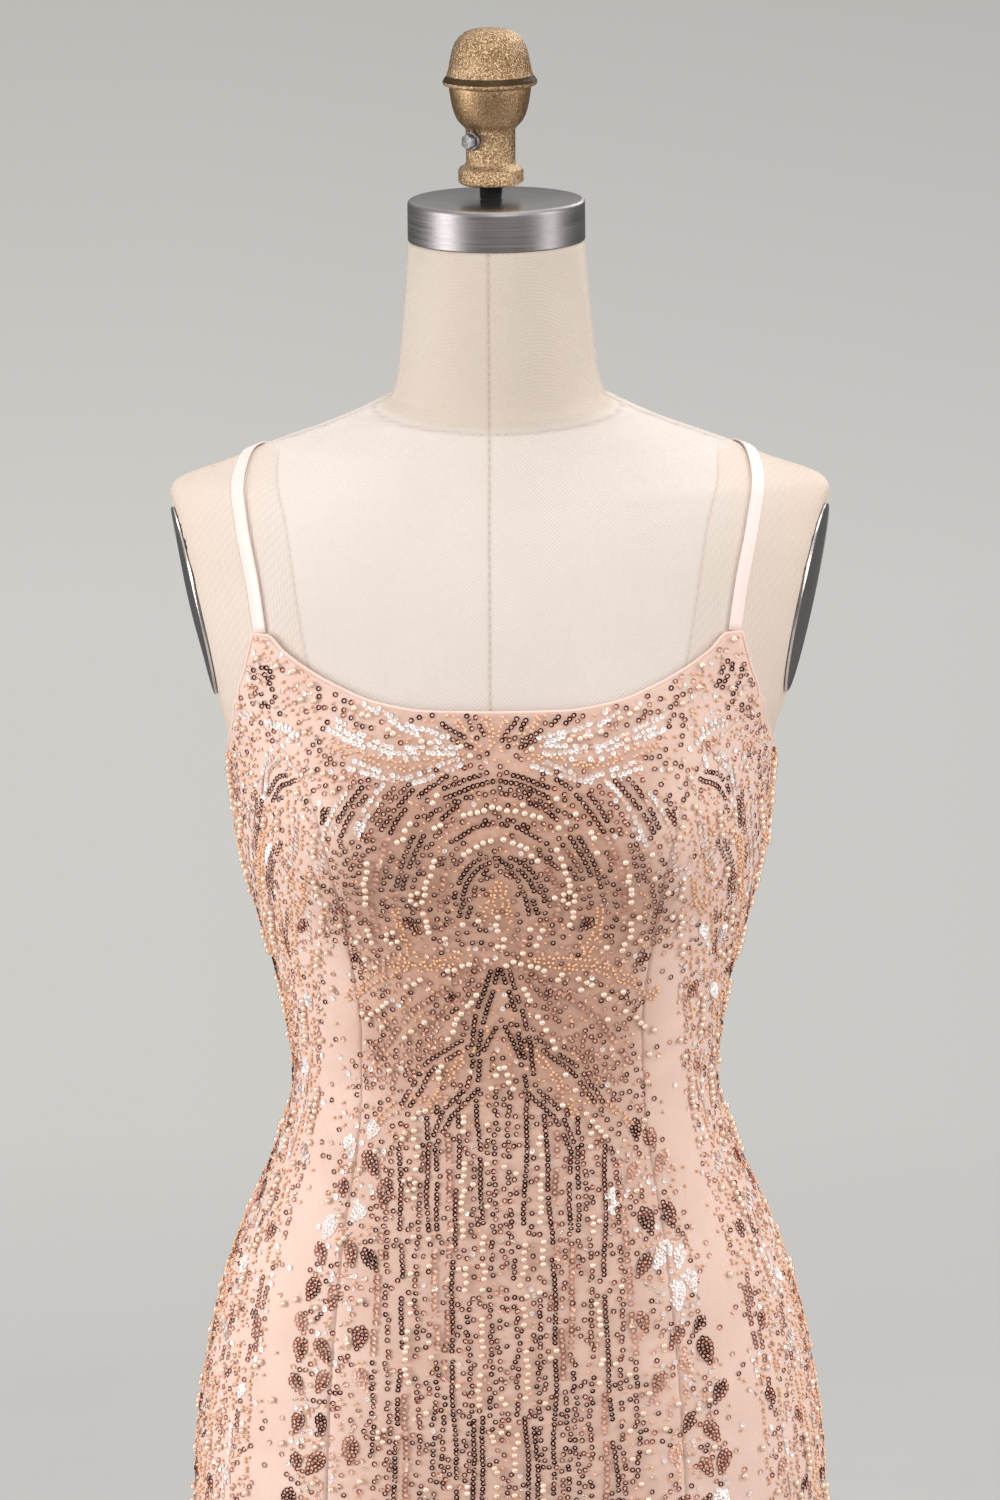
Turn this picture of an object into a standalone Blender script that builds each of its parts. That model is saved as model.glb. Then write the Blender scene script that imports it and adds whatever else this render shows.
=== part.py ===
"""Short fitted cocktail dress with thin shoulder straps, worn by a limbless dress form on a round-based stand.

The form and the dress share one table of body levels. The form is lofted through those levels, and each
panel of the dress is a cloth wall that follows the same levels a little further out. Metres, +Z up, the
wearer faces -Y, so the wearer's left is +X. The origin is on the floor under the pole.
"""

from collections import namedtuple
from functools import lru_cache
from math import atan, cos, pi, radians, sin

import bmesh
import bpy
import numpy as np
from mathutils import Matrix, Vector

MM = 0.001

# ---------------------------------------------------------------- driving sizes, in millimetres
CLEARANCE = 0.3  # between pieces that meet
CLOTH_LIFT = 1.4  # from the form's skin to the inside of the cloth
CLOTH_WALL = 1.5  # embroidered net and its lining, sewn as one

HEM_HEIGHT = 560
FORM_BOTTOM = 700
FORM_TOP = 1476
FORM_EDGE_ROUND = 8

# Body levels from the hem up. half is half of the width; front and back are depths from the pole's axis;
# power is 2 for an ellipse and more for a squarer outline.
Level = namedtuple("Level", "height half front back power")
BODY = (
    Level(560, 180.0, 93.0, 113.0, 2.2),
    Level(640, 182.5, 94.5, 116.5, 2.2),
    Level(715, 183.5, 96.0, 119.0, 2.25),
    Level(760, 181.5, 97.0, 119.0, 2.3),
    Level(808, 175.5, 97.0, 115.0, 2.3),
    Level(858, 164.0, 95.0, 104.0, 2.3),
    Level(907, 146.0, 91.5, 89.0, 2.25),
    Level(945, 130.0, 89.0, 79.0, 2.2),
    Level(985, 120.5, 87.5, 73.5, 2.2),
    Level(1030, 125.0, 91.0, 76.0, 2.2),
    Level(1088, 140.0, 100.0, 86.0, 2.25),
    Level(1136, 151.0, 109.0, 95.0, 2.3),
    Level(1160, 153.0, 111.5, 99.0, 2.3),
    Level(1190, 157.0, 111.5, 103.0, 2.3),
    Level(1226, 174.0, 108.0, 106.0, 2.3),
    Level(1263, 190.0, 101.0, 106.0, 2.3),
    Level(1300, 194.0, 91.5, 100.0, 2.2),
    Level(1325, 191.5, 83.0, 92.0, 2.0),
    Level(1337, 186.5, 78.0, 86.0, 1.85),
    Level(1348, 158.5, 73.5, 80.0, 1.75),
    Level(1360, 129.5, 68.5, 73.0, 1.7),
    Level(1372, 95.5, 63.5, 66.0, 1.75),
    Level(1383, 70.0, 60.5, 60.5, 1.9),
    Level(1388, 61.0, 59.0, 58.5, 2.0),
    Level(1420, 55.0, 55.0, 54.5, 2.0),
    Level(1476, 50.2, 50.2, 50.2, 2.0),
)

# Bust of a general figure: a soft swell each side, which the cloth bridges in the middle.
BUST_HEIGHT = 1160
BUST_SIDE = 88
BUST_SWELL = 19
BUST_ACROSS = 42
BUST_UP = 50
BRIDGE_SWELL = 7
BRIDGE_ACROSS = 55

# Flat armhole faces, each leaning in towards its foot and turned a little to the front.
ARM_CUT_HALF = 166.2
ARM_CUT_HEIGHT = 1222
ARM_CUT_FOOT = 1192
ARM_CUT_LEAN = 0.205
ARM_CUT_TOE = 0.155
PLATE_CENTRE_HEIGHT = 1269
PLATE_HALF_TALL = 56
PLATE_HALF_WIDE = 39
PLATE_CENTRE_DEPTH = -7
PLATE_RIM = 1.8
PLATE_DOME = 2.2

# Free cloth under the form hangs in shallow waves that die out where the form begins.
HEM_WAVE = 2.2
HEM_WAVES = 7
HEM_WAVE_TOP = 760

# Cut lines of the dress. across is the sideways distance from the centre line.
SeamPoint = namedtuple("SeamPoint", "height across")
FRONT_SEAM = (
    SeamPoint(560, 103),
    SeamPoint(700, 104),
    SeamPoint(800, 101),
    SeamPoint(900, 92),
    SeamPoint(985, 80),
    SeamPoint(1030, 79),
    SeamPoint(1085, 85),
    SeamPoint(1142, 95),
    SeamPoint(1180, 105),
    SeamPoint(1205, 121),
    SeamPoint(1226, 140),
    SeamPoint(1245, 138),
    SeamPoint(1264, 137),
)
BACK_SEAM = (
    SeamPoint(560, 86),
    SeamPoint(700, 87),
    SeamPoint(808, 80),
    SeamPoint(900, 66),
    SeamPoint(985, 56),
    SeamPoint(1088, 72),
    SeamPoint(1190, 92),
)
NECKLINE = (  # height of the top edge at each distance from the centre line
    SeamPoint(1225.0, 0),
    SeamPoint(1225.5, 38),
    SeamPoint(1230.0, 68),
    SeamPoint(1237.5, 88),
    SeamPoint(1246.0, 105),
    SeamPoint(1256.0, 120),
    SeamPoint(1264.0, 129),
    SeamPoint(1264.0, 160),
)
ARMHOLE_TOP = 1226  # where the front seam meets the armhole
UNDERARM = 1184
BACK_STRAP_TOP = 1186
BACK_CENTRE_TOP = 1168
YOKE = 1125  # below this the rows of all panels are level

LEVEL_ROWS = 23
UPPER_ROWS = 7
PEAK_ROWS = 4

# Shoulder straps
STRAP_WIDTH = 7.5
STRAP_WALL = 1.2
STRAP_LIFT = 0.7
StrapPoint = namedtuple("StrapPoint", "turn across")
STRAP_ROUTE = (  # turn is degrees up from straight ahead, seen from the centre of the shoulder
    StrapPoint(0, 133.5),
    StrapPoint(22, 138),
    StrapPoint(45, 144),
    StrapPoint(65, 147.5),
    StrapPoint(82, 145),
    StrapPoint(100, 138),
    StrapPoint(125, 128),
    StrapPoint(150, 118),
    StrapPoint(172, 109),
    StrapPoint(192, 100),
    StrapPoint(218, 92),
)
STRAP_EYE = 1264.7
STRAP_STEPS = 30

# Zip at the centre back
SLIDER_HEIGHT = 1158
SLIDER_WIDE = 6.4
SLIDER_TALL = 9.0
SLIDER_THICK = 1.6
EAR_THICK = 1.1
EAR_TALL = 3.2
EAR_REACH = 2.9
PIN_RADIUS = 0.6
PIN_HOLE = 1.0
PULL_LENGTH = 19
PULL_NECK = 2.6
PULL_WIDE = 5.6
PULL_THICK = 1.0

# Neck cap, clamp fitting and finial
CAP_RADIUS = 50.5
CAP_HEIGHT = 23
CAP_ROUND = 1.8
ROD_RADIUS = 6.6
FITTING_BOTTOM = 1508
FITTING_SHIFT = -2.8  # the clamp bolt pushes the fitting off the neck's centre
FITTING_STEM = 14.1
BOLT_HEIGHT = 1534
BOLT_TURN = -42  # degrees from straight ahead, towards the wearer's right
BOLT_HEAD_RADIUS = 4.7
BOLT_HEAD = 3.2
BOLT_COLLAR_RADIUS = 5.4
BOLT_COLLAR = 2.2

# Stand
BASE_RADIUS = 200
BASE_THICK = 10
POLE_RADIUS = 14
SOCKET_RADIUS = 27
SOCKET_HEIGHT = 46
FLANGE_RADIUS = 48
FLANGE_THICK = 8

MATERIALS = {  # base colour, roughness, metallic
    "dress_cloth": ((0.83, 0.58, 0.49), 0.55, 0.0),
    "strap_satin": ((0.93, 0.76, 0.70), 0.45, 0.0),
    "canvas": ((0.87, 0.78, 0.68), 0.9, 0.0),
    "steel": ((0.62, 0.61, 0.62), 0.25, 1.0),
    "dark_steel": ((0.26, 0.26, 0.25), 0.4, 1.0),
    "bronze": ((0.52, 0.36, 0.18), 0.4, 1.0),
    "black_metal": ((0.03, 0.03, 0.03), 0.5, 0.3),
    "zip_metal": ((0.80, 0.55, 0.47), 0.35, 0.6),
}

SAMPLES = 361
FORM_COLUMNS = 48
NORMAL_STEP = 2.0


# ---------------------------------------------------------------- smooth curves through tables
def smooth_curve(places, values):
    """A curve through the points that rises and falls only where they do."""
    places = np.asarray(places, float)
    values = np.asarray(values, float)
    gaps = np.diff(places)
    rises = np.diff(values) / gaps
    slopes = np.concatenate([[rises[0]], np.zeros(len(gaps) - 1), [rises[-1]]])
    for i in range(1, len(gaps)):
        before, after = rises[i - 1], rises[i]
        if before * after > 0:
            first, second = 2 * gaps[i] + gaps[i - 1], gaps[i] + 2 * gaps[i - 1]
            slopes[i] = (first + second) / (first / before + second / after)

    def curve(place):
        place = min(max(place, places[0]), places[-1])
        i = min(int(np.searchsorted(places, place, side="right")) - 1, len(gaps) - 1)
        t = (place - places[i]) / gaps[i]
        return (
            values[i] * (1 + 2 * t) * (1 - t) ** 2
            + slopes[i] * gaps[i] * t * (1 - t) ** 2
            + values[i + 1] * t * t * (3 - 2 * t)
            + slopes[i + 1] * gaps[i] * t * t * (t - 1)
        )

    return curve


def column_curve(table, place, value):
    return smooth_curve([getattr(row, place) for row in table], [getattr(row, value) for row in table])


body_half = column_curve(BODY, "height", "half")
body_front = column_curve(BODY, "height", "front")
body_back = column_curve(BODY, "height", "back")
body_power = column_curve(BODY, "height", "power")
front_seam_across = column_curve(FRONT_SEAM, "height", "across")
back_seam_across = column_curve(BACK_SEAM, "height", "across")
neckline_height = column_curve(NECKLINE, "across", "height")


# ---------------------------------------------------------------- the figure's outline at one height
def arm_cut(height, depth):
    """How far out the flat armhole face lies at a height and a depth."""
    return ARM_CUT_HALF + ARM_CUT_LEAN * (height - ARM_CUT_HEIGHT) + ARM_CUT_TOE * depth


@lru_cache(maxsize=None)
def outline(height, clothed):
    """(across, depth, girth) from the centre front round the wearer's left side to the centre back."""
    turn = np.linspace(0, pi, SAMPLES)
    share = 2 / body_power(height)
    across = body_half(height) * np.abs(np.sin(turn)) ** share
    reach = np.where(turn < pi / 2, body_front(height), body_back(height))
    depth = -np.sign(np.cos(turn)) * reach * np.abs(np.cos(turn)) ** share
    ahead = turn < pi / 2
    level = np.exp(-(((height - BUST_HEIGHT) / BUST_UP) ** 2))
    swell = BUST_SWELL * np.exp(-(((across - BUST_SIDE) / BUST_ACROSS) ** 2))
    if clothed:
        swell = swell + BRIDGE_SWELL * np.exp(-((across / BRIDGE_ACROSS) ** 2))
    depth = depth - np.where(ahead, swell * level * np.clip(-depth / 60, 0, 1), 0)
    if height > ARM_CUT_FOOT:
        across = np.minimum(across, arm_cut(height, depth))
    if clothed and height < HEM_WAVE_TOP:
        fade = (HEM_WAVE_TOP - height) / (HEM_WAVE_TOP - HEM_HEIGHT)
        wave = 1 + HEM_WAVE * fade * fade * np.cos(HEM_WAVES * turn) / body_half(height)
        across, depth = across * wave, depth * wave
    steps = np.hypot(np.diff(across), np.diff(depth))
    return across, depth, np.concatenate([[0], np.cumsum(steps)])


def half_girth(height):
    return outline(height, True)[2][-1]


def surface_point(height, girth, clothed=True):
    """The point of the skin at a height and a distance round from the centre front, minus for the right."""
    across, depth, along = outline(height, clothed)
    distance = min(abs(girth), along[-1])
    side = -1 if girth < 0 else 1
    return Vector((side * np.interp(distance, along, across), np.interp(distance, along, depth), height))


def surface_normal(height, girth, clothed=True):
    """The outward direction of the skin there."""
    share = girth / outline(height, clothed)[2][-1]
    ahead = surface_point(height, girth + NORMAL_STEP, clothed) - surface_point(height, girth - NORMAL_STEP, clothed)
    low, high = height - NORMAL_STEP, height + NORMAL_STEP
    below = surface_point(low, share * outline(low, clothed)[2][-1], clothed)
    above = surface_point(high, share * outline(high, clothed)[2][-1], clothed)
    return ahead.cross(above - below).normalized()


def girth_at(height, across, behind=False):
    """Distance round from the centre front to a sideways distance, on the front or on the back."""
    outs, _, along = outline(height, True)
    widest = int(np.argmax(outs))
    if behind:
        return float(np.interp(-across, -outs[widest:], along[widest:]))
    return float(np.interp(across, outs[: widest + 1], along[: widest + 1]))


def side_girth(height):
    outs, _, along = outline(height, True)
    return float(along[int(np.argmax(outs))])


# ---------------------------------------------------------------- making objects
def material(name):
    found = bpy.data.materials.get(name)
    if found:
        return found
    colour, roughness, metallic = MATERIALS[name]
    made = bpy.data.materials.new(name)
    made.use_nodes = True
    shader = made.node_tree.nodes["Principled BSDF"]
    shader.inputs["Base Color"].default_value = (*colour, 1)
    shader.inputs["Roughness"].default_value = roughness
    shader.inputs["Metallic"].default_value = metallic
    made.diffuse_color = (*colour, 1)
    return made


def add_object(name, bm, finish, smooth_angle=40):
    """Puts a bmesh given in millimetres into the scene as one named object."""
    bmesh.ops.scale(bm, vec=(MM, MM, MM), verts=bm.verts)
    bmesh.ops.recalc_face_normals(bm, faces=bm.faces)
    mesh = bpy.data.meshes.new(name)
    bm.to_mesh(mesh)
    bm.free()
    mesh.shade_smooth()
    mesh.set_sharp_from_angle(angle=radians(smooth_angle))
    mesh.materials.append(material(finish))
    made = bpy.data.objects.new(name, mesh)
    bpy.context.scene.collection.objects.link(made)
    return made


def loft(bm, rings, closed_ends=True):
    """Bridges rings of points that have equal counts, and caps the first and last."""
    loops = [[bm.verts.new(point) for point in ring] for ring in rings]
    count = len(loops[0])
    for lower, upper in zip(loops, loops[1:]):
        for i in range(count):
            j = (i + 1) % count
            bm.faces.new((lower[i], lower[j], upper[j], upper[i]))
    if closed_ends:
        bm.faces.new(loops[0][::-1])
        bm.faces.new(loops[-1])
    return loops


def turned(name, profile, finish, centre=(0, 0), sides=32, smooth_angle=40):
    """A turned piece: profile is (radius, height) from the bottom up."""
    bm = bmesh.new()
    rings = []
    for radius, height in profile:
        ring = []
        for i in range(sides):
            angle = 2 * pi * i / sides
            ring.append((centre[0] + radius * cos(angle), centre[1] + radius * sin(angle), height))
        rings.append(ring)
    loft(bm, rings)
    return add_object(name, bm, finish, smooth_angle)


def drop_helper(helper):
    bpy.data.objects.remove(helper)


# ---------------------------------------------------------------- dress form
def form_heights():
    """Ring heights of the form: even over the body, close together on the shoulder and neck base."""
    body = list(np.linspace(FORM_BOTTOM + FORM_EDGE_ROUND, 1190, 20))
    chest = [1208, 1226, 1246, 1266, 1286, 1304, 1317, 1327]
    shoulder = [1333, 1338, 1343, 1348.5, 1354, 1360, 1366, 1372, 1378, 1383, 1387]
    neck = [1396, 1410, 1430, 1452, FORM_TOP]
    return body + chest + shoulder + neck


def form_ring(height, inset=0.0, at_height=None):
    """One ring of the form's skin with points spread round it."""
    across, depth, _ = outline(float(height), False)
    picks = np.linspace(0, SAMPLES - 1, FORM_COLUMNS // 2 + 1).round().astype(int)
    left = [(across[i], depth[i]) for i in picks]
    right = [(-x, y) for x, y in left[-2:0:-1]]
    z = height if at_height is None else at_height
    shrink = 1 - inset / body_half(height)
    return [(x * shrink, y * shrink, z) for x, y in left + right]


def build_form():
    bm = bmesh.new()
    rings = []
    for share in (0.0, 0.35, 0.7):  # the rounded lower edge
        inset = FORM_EDGE_ROUND * (1 - sin(share * pi / 2))
        rings.append(form_ring(FORM_BOTTOM + FORM_EDGE_ROUND, inset, FORM_BOTTOM + FORM_EDGE_ROUND * (1 - cos(share * pi / 2))))
    rings += [form_ring(height) for height in form_heights()]
    loft(bm, rings)
    add_object("torso_form", bm, "canvas", 35)


def build_arm_plate(name, side):
    """A domed oval steel plate on the flat armhole face."""
    bm = bmesh.new()
    normal = Vector((1, -ARM_CUT_TOE, -ARM_CUT_LEAN)).normalized()
    up = (Vector((0, 0, 1)) - normal * normal.z).normalized()
    ahead = up.cross(normal)
    foot = Vector((arm_cut(PLATE_CENTRE_HEIGHT, PLATE_CENTRE_DEPTH), PLATE_CENTRE_DEPTH, PLATE_CENTRE_HEIGHT))
    foot += normal * CLEARANCE
    rings = []
    steps = ((1.0, 0.0), (1.0, PLATE_RIM), (0.9, PLATE_RIM + 0.45 * PLATE_DOME),
             (0.66, PLATE_RIM + 0.8 * PLATE_DOME), (0.3, PLATE_RIM + PLATE_DOME))
    for share, out in steps:
        ring = []
        for i in range(28):
            angle = 2 * pi * i / 28
            flat = up * (PLATE_HALF_TALL * share * sin(angle)) + ahead * (PLATE_HALF_WIDE * share * cos(angle))
            point = foot + flat + normal * out
            ring.append((side * point.x, point.y, point.z))
        rings.append(ring)
    loft(bm, rings)
    add_object(name, bm, "dark_steel", 30)


def build_neck_fittings():
    cap_bottom = FORM_TOP + CLEARANCE
    cap_top = cap_bottom + CAP_HEIGHT
    turned("neck_cap", [(CAP_RADIUS, cap_bottom), (CAP_RADIUS, cap_top - CAP_ROUND),
                        (CAP_RADIUS - 0.3 * CAP_ROUND, cap_top - 0.3 * CAP_ROUND),
                        (CAP_RADIUS - CAP_ROUND, cap_top)], "steel", sides=48)
    centre = (FITTING_SHIFT, 0)
    turned("neck_rod", [(ROD_RADIUS, cap_top + CLEARANCE), (ROD_RADIUS, FITTING_BOTTOM - CLEARANCE)],
           "black_metal", centre, sides=20)
    base = FITTING_BOTTOM
    turned("clamp_fitting", [(17.2, base), (18.6, base + 1.2), (18.6, base + 8.8), (17.2, base + 10),
                             (14.4, base + 11), (FITTING_STEM, base + 13), (FITTING_STEM, base + 31.6),
                             (16.2, base + 33.6), (18.9, base + 36.8), (21.1, base + 42.3), (22.5, base + 48),
                             (23.3, base + 56)],
           "bronze", centre, sides=28, smooth_angle=50)
    rim = base + 56 + CLEARANCE
    turned("finial_cap", [(25.6, rim), (26.9, rim + 1.8), (26.5, rim + 4.4), (24.8, rim + 6.0),
                          (23.4, rim + 9.4), (22.3, rim + 15), (21.0, rim + 21), (18.4, rim + 26.4),
                          (13.6, rim + 30.4), (6.0, rim + 32.2)], "bronze", centre, sides=28, smooth_angle=50)


def build_clamp_bolt():
    """A hex bolt with a round collar that presses on the fitting's stem, square to it."""
    bm = bmesh.new()
    stem = FITTING_STEM + CLEARANCE
    rings = []
    for radius, out, sides_turn in ((BOLT_COLLAR_RADIUS, 0, 0), (BOLT_COLLAR_RADIUS, BOLT_COLLAR, 0),
                                    (BOLT_HEAD_RADIUS, BOLT_COLLAR + 0.02, 1), (BOLT_HEAD_RADIUS, BOLT_COLLAR + BOLT_HEAD, 1)):
        ring = []
        for i in range(24):
            angle = 2 * pi * i / 24
            if sides_turn:  # the outline of a hexagon
                radius_here = radius * cos(pi / 6) / cos((angle % (pi / 3)) - pi / 6)
            else:
                radius_here = radius
            ring.append((radius_here * cos(angle), radius_here * sin(angle), stem + out))
        rings.append(ring)
    loft(bm, rings)
    turn = Matrix.Rotation(radians(BOLT_TURN), 4, "Z") @ Matrix.Rotation(radians(90), 4, "X")
    bmesh.ops.transform(bm, matrix=Matrix.Translation((FITTING_SHIFT, 0, BOLT_HEIGHT)) @ turn, verts=bm.verts)
    add_object("clamp_bolt", bm, "steel", 25)


def build_stand():
    turned("base_plate", [(BASE_RADIUS - 2, 0), (BASE_RADIUS, 2), (BASE_RADIUS, BASE_THICK - 3),
                          (BASE_RADIUS - 3, BASE_THICK)], "dark_steel", sides=56)
    foot = BASE_THICK + CLEARANCE
    socket_top = foot + SOCKET_HEIGHT
    turned("base_socket", [(SOCKET_RADIUS + 11, foot), (SOCKET_RADIUS + 11, foot + 5), (SOCKET_RADIUS, foot + 9),
                           (SOCKET_RADIUS - 4, socket_top - 3), (SOCKET_RADIUS - 7, socket_top)], "dark_steel", sides=32)
    flange_bottom = FORM_BOTTOM - CLEARANCE - FLANGE_THICK
    turned("pole", [(POLE_RADIUS, socket_top + CLEARANCE), (POLE_RADIUS, flange_bottom - CLEARANCE)],
           "steel", sides=24)
    turned("form_flange", [(POLE_RADIUS + 8, flange_bottom), (FLANGE_RADIUS, flange_bottom + 5),
                           (FLANGE_RADIUS, flange_bottom + FLANGE_THICK)], "dark_steel", sides=32)


# ---------------------------------------------------------------- dress panels
def level_heights():
    return list(np.linspace(HEM_HEIGHT, YOKE, LEVEL_ROWS))


def spread(low, high, count):
    """Heights above low up to and including high."""
    return [low + (high - low) * (i + 1) / count for i in range(count)]


def cloth_wall(name, columns, heights_of, girth_of, finish="dress_cloth"):
    """A panel from its grid. heights_of(share) gives a column's heights from the hem up, and
    girth_of(share, height) its distance round. Share runs from 0 to 1 across the panel."""
    bm = bmesh.new()
    inner, outer = [], []
    for c in range(columns + 1):
        share = c / columns
        inside, outside = [], []
        for height in heights_of(share):
            girth = girth_of(share, height)
            point, normal = surface_point(height, girth), surface_normal(height, girth)
            inside.append(bm.verts.new(point + normal * CLOTH_LIFT))
            outside.append(bm.verts.new(point + normal * (CLOTH_LIFT + CLOTH_WALL)))
        inner.append(inside)
        outer.append(outside)
    rows = len(inner[0])
    for c in range(columns):
        for r in range(rows - 1):
            bm.faces.new((outer[c][r], outer[c + 1][r], outer[c + 1][r + 1], outer[c][r + 1]))
            bm.faces.new((inner[c][r], inner[c][r + 1], inner[c + 1][r + 1], inner[c + 1][r]))
        bm.faces.new((inner[c][0], inner[c + 1][0], outer[c + 1][0], outer[c][0]))
        bm.faces.new((inner[c][-1], outer[c][-1], outer[c + 1][-1], inner[c + 1][-1]))
    for r in range(rows - 1):
        bm.faces.new((inner[0][r], outer[0][r], outer[0][r + 1], inner[0][r + 1]))
        bm.faces.new((inner[-1][r], inner[-1][r + 1], outer[-1][r + 1], outer[-1][r]))
    return add_object(name, bm, finish)


def between(start, end, share):
    """A distance between two seams, each drawn back by half of the clearance."""
    gap = CLEARANCE / 2
    return start + gap + (end - start - 2 * gap) * share


def front_edge_girth(height):
    """From the centre front to the front seam or, above it, to the armhole's edge."""
    return girth_at(height, front_seam_across(height))


def back_seam_girth(height):
    return girth_at(height, back_seam_across(height), behind=True)


def neck_edge_height(share):
    """Height of the neckline on the column that runs at this share of the front panel."""
    height = 1240.0
    for _ in range(12):
        girth = between(-front_edge_girth(height), front_edge_girth(height), share)
        height = neckline_height(abs(surface_point(height, girth).x))
    return height


def build_front_panel():
    def heights(share):
        middle = 1 - (2 * share - 1) ** 2
        shoulder_line = ARMHOLE_TOP - 24 * middle
        return (level_heights() + spread(YOKE, shoulder_line, UPPER_ROWS)
                + spread(shoulder_line, neck_edge_height(share), PEAK_ROWS))

    cloth_wall("front_center", 18, heights,
               lambda share, height: between(-front_edge_girth(height), front_edge_girth(height), share))


def mirrored(side, name, columns, heights, girth):
    """Builds one of a left and right pair. The right panel's shares run the other way, so faces stay outward."""
    if side > 0:
        cloth_wall(name, columns, heights, girth)
    else:
        cloth_wall(name, columns, lambda share: heights(1 - share),
                   lambda share, height: -girth(1 - share, height))


def build_side_front(side, name):
    def heights(share):
        edge = UNDERARM + (ARMHOLE_TOP - UNDERARM) * (1 - share) ** 1.6
        return level_heights() + spread(YOKE, edge, UPPER_ROWS)

    mirrored(side, name, 6, heights,
             lambda share, height: between(front_edge_girth(height), side_girth(height), share))


def build_side_back(side, name):
    def heights(share):
        edge = UNDERARM + (BACK_STRAP_TOP - UNDERARM) * share - 7 * sin(pi * share)
        return level_heights() + spread(YOKE, edge, UPPER_ROWS)

    mirrored(side, name, 7, heights,
             lambda share, height: between(side_girth(height), back_seam_girth(height), share))


def build_back(side, name):
    def heights(share):
        edge = BACK_CENTRE_TOP + (BACK_STRAP_TOP - BACK_CENTRE_TOP) * (1 - share) ** 2
        return level_heights() + spread(YOKE, edge, UPPER_ROWS)

    mirrored(side, name, 6, heights,
             lambda share, height: between(back_seam_girth(height), half_girth(height), share))


# ---------------------------------------------------------------- straps
def inside_body(point):
    """Whether a point lies in the shoulder's rounded outline."""
    height = point.z
    reach = body_front(height) if point.y < 0 else body_back(height)
    power = body_power(height)
    return (abs(point.x) / body_half(height)) ** power + (abs(point.y) / reach) ** power < 1


def shoulder_point(across, turn):
    """Where a ray from the shoulder's middle meets the skin; turn is degrees up from straight ahead."""
    eye = Vector((across, 0, STRAP_EYE))
    aim = Vector((0, -cos(radians(turn)), sin(radians(turn))))
    near, far = 0.0, 200.0
    for _ in range(40):
        middle = (near + far) / 2
        if inside_body(eye + aim * middle):
            near = middle
        else:
            far = middle
    return eye + aim * near


def strap_last_turn():
    """The turn at which the strap reaches the back's top edge."""
    early, late = 190.0, 230.0
    for _ in range(30):
        middle = (early + late) / 2
        if shoulder_point(STRAP_ROUTE[-1].across, middle).z > BACK_STRAP_TOP + CLEARANCE:
            early = middle
        else:
            late = middle
    return early


def build_strap(side, name):
    """A flat ribbon that follows the skin over the shoulder, from the front peak to the back edge."""
    route = column_curve(STRAP_ROUTE, "turn", "across")
    first, last = STRAP_ROUTE[0].turn, strap_last_turn()
    turns = [first + (last - first) * i / STRAP_STEPS for i in range(STRAP_STEPS + 1)]
    points = [shoulder_point(route(turn), turn) for turn in turns]
    bm = bmesh.new()
    rings = []
    for i, point in enumerate(points):
        ahead = points[min(i + 1, STRAP_STEPS)] - points[max(i - 1, 0)]
        beside = shoulder_point(route(turns[i]) + 3, turns[i]) - shoulder_point(route(turns[i]) - 3, turns[i])
        normal = beside.cross(ahead).normalized()
        edge = ahead.cross(normal).normalized() * (STRAP_WIDTH / 2)
        low, high = point + normal * STRAP_LIFT, point + normal * (STRAP_LIFT + STRAP_WALL)
        rings.append([(side * p.x, p.y, p.z) for p in (low - edge, low + edge, high + edge, high - edge)])
    loft(bm, rings)
    return add_object(name, bm, "strap_satin", 60)


# ---------------------------------------------------------------- zip slider and pull
def zip_place():
    """The pull's hinge axis, and the lean of the cloth at the slider."""
    middle = surface_point(SLIDER_HEIGHT, half_girth(SLIDER_HEIGHT))
    below = surface_point(SLIDER_HEIGHT - 8, half_girth(SLIDER_HEIGHT - 8))
    above = surface_point(SLIDER_HEIGHT + 8, half_girth(SLIDER_HEIGHT + 8))
    lean = atan((above.y - below.y) / 16)
    face = Vector((0, middle.y + (CLOTH_LIFT + CLOTH_WALL + CLEARANCE) / cos(lean), SLIDER_HEIGHT))
    return face, lean


def box(bm, low, high):
    made = bmesh.ops.create_cube(bm, size=1)
    size = [b - a for a, b in zip(low, high)]
    centre = [(a + b) / 2 for a, b in zip(low, high)]
    bmesh.ops.scale(bm, vec=size, verts=made["verts"])
    bmesh.ops.translate(bm, vec=centre, verts=made["verts"])
    return made["verts"]


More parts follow.
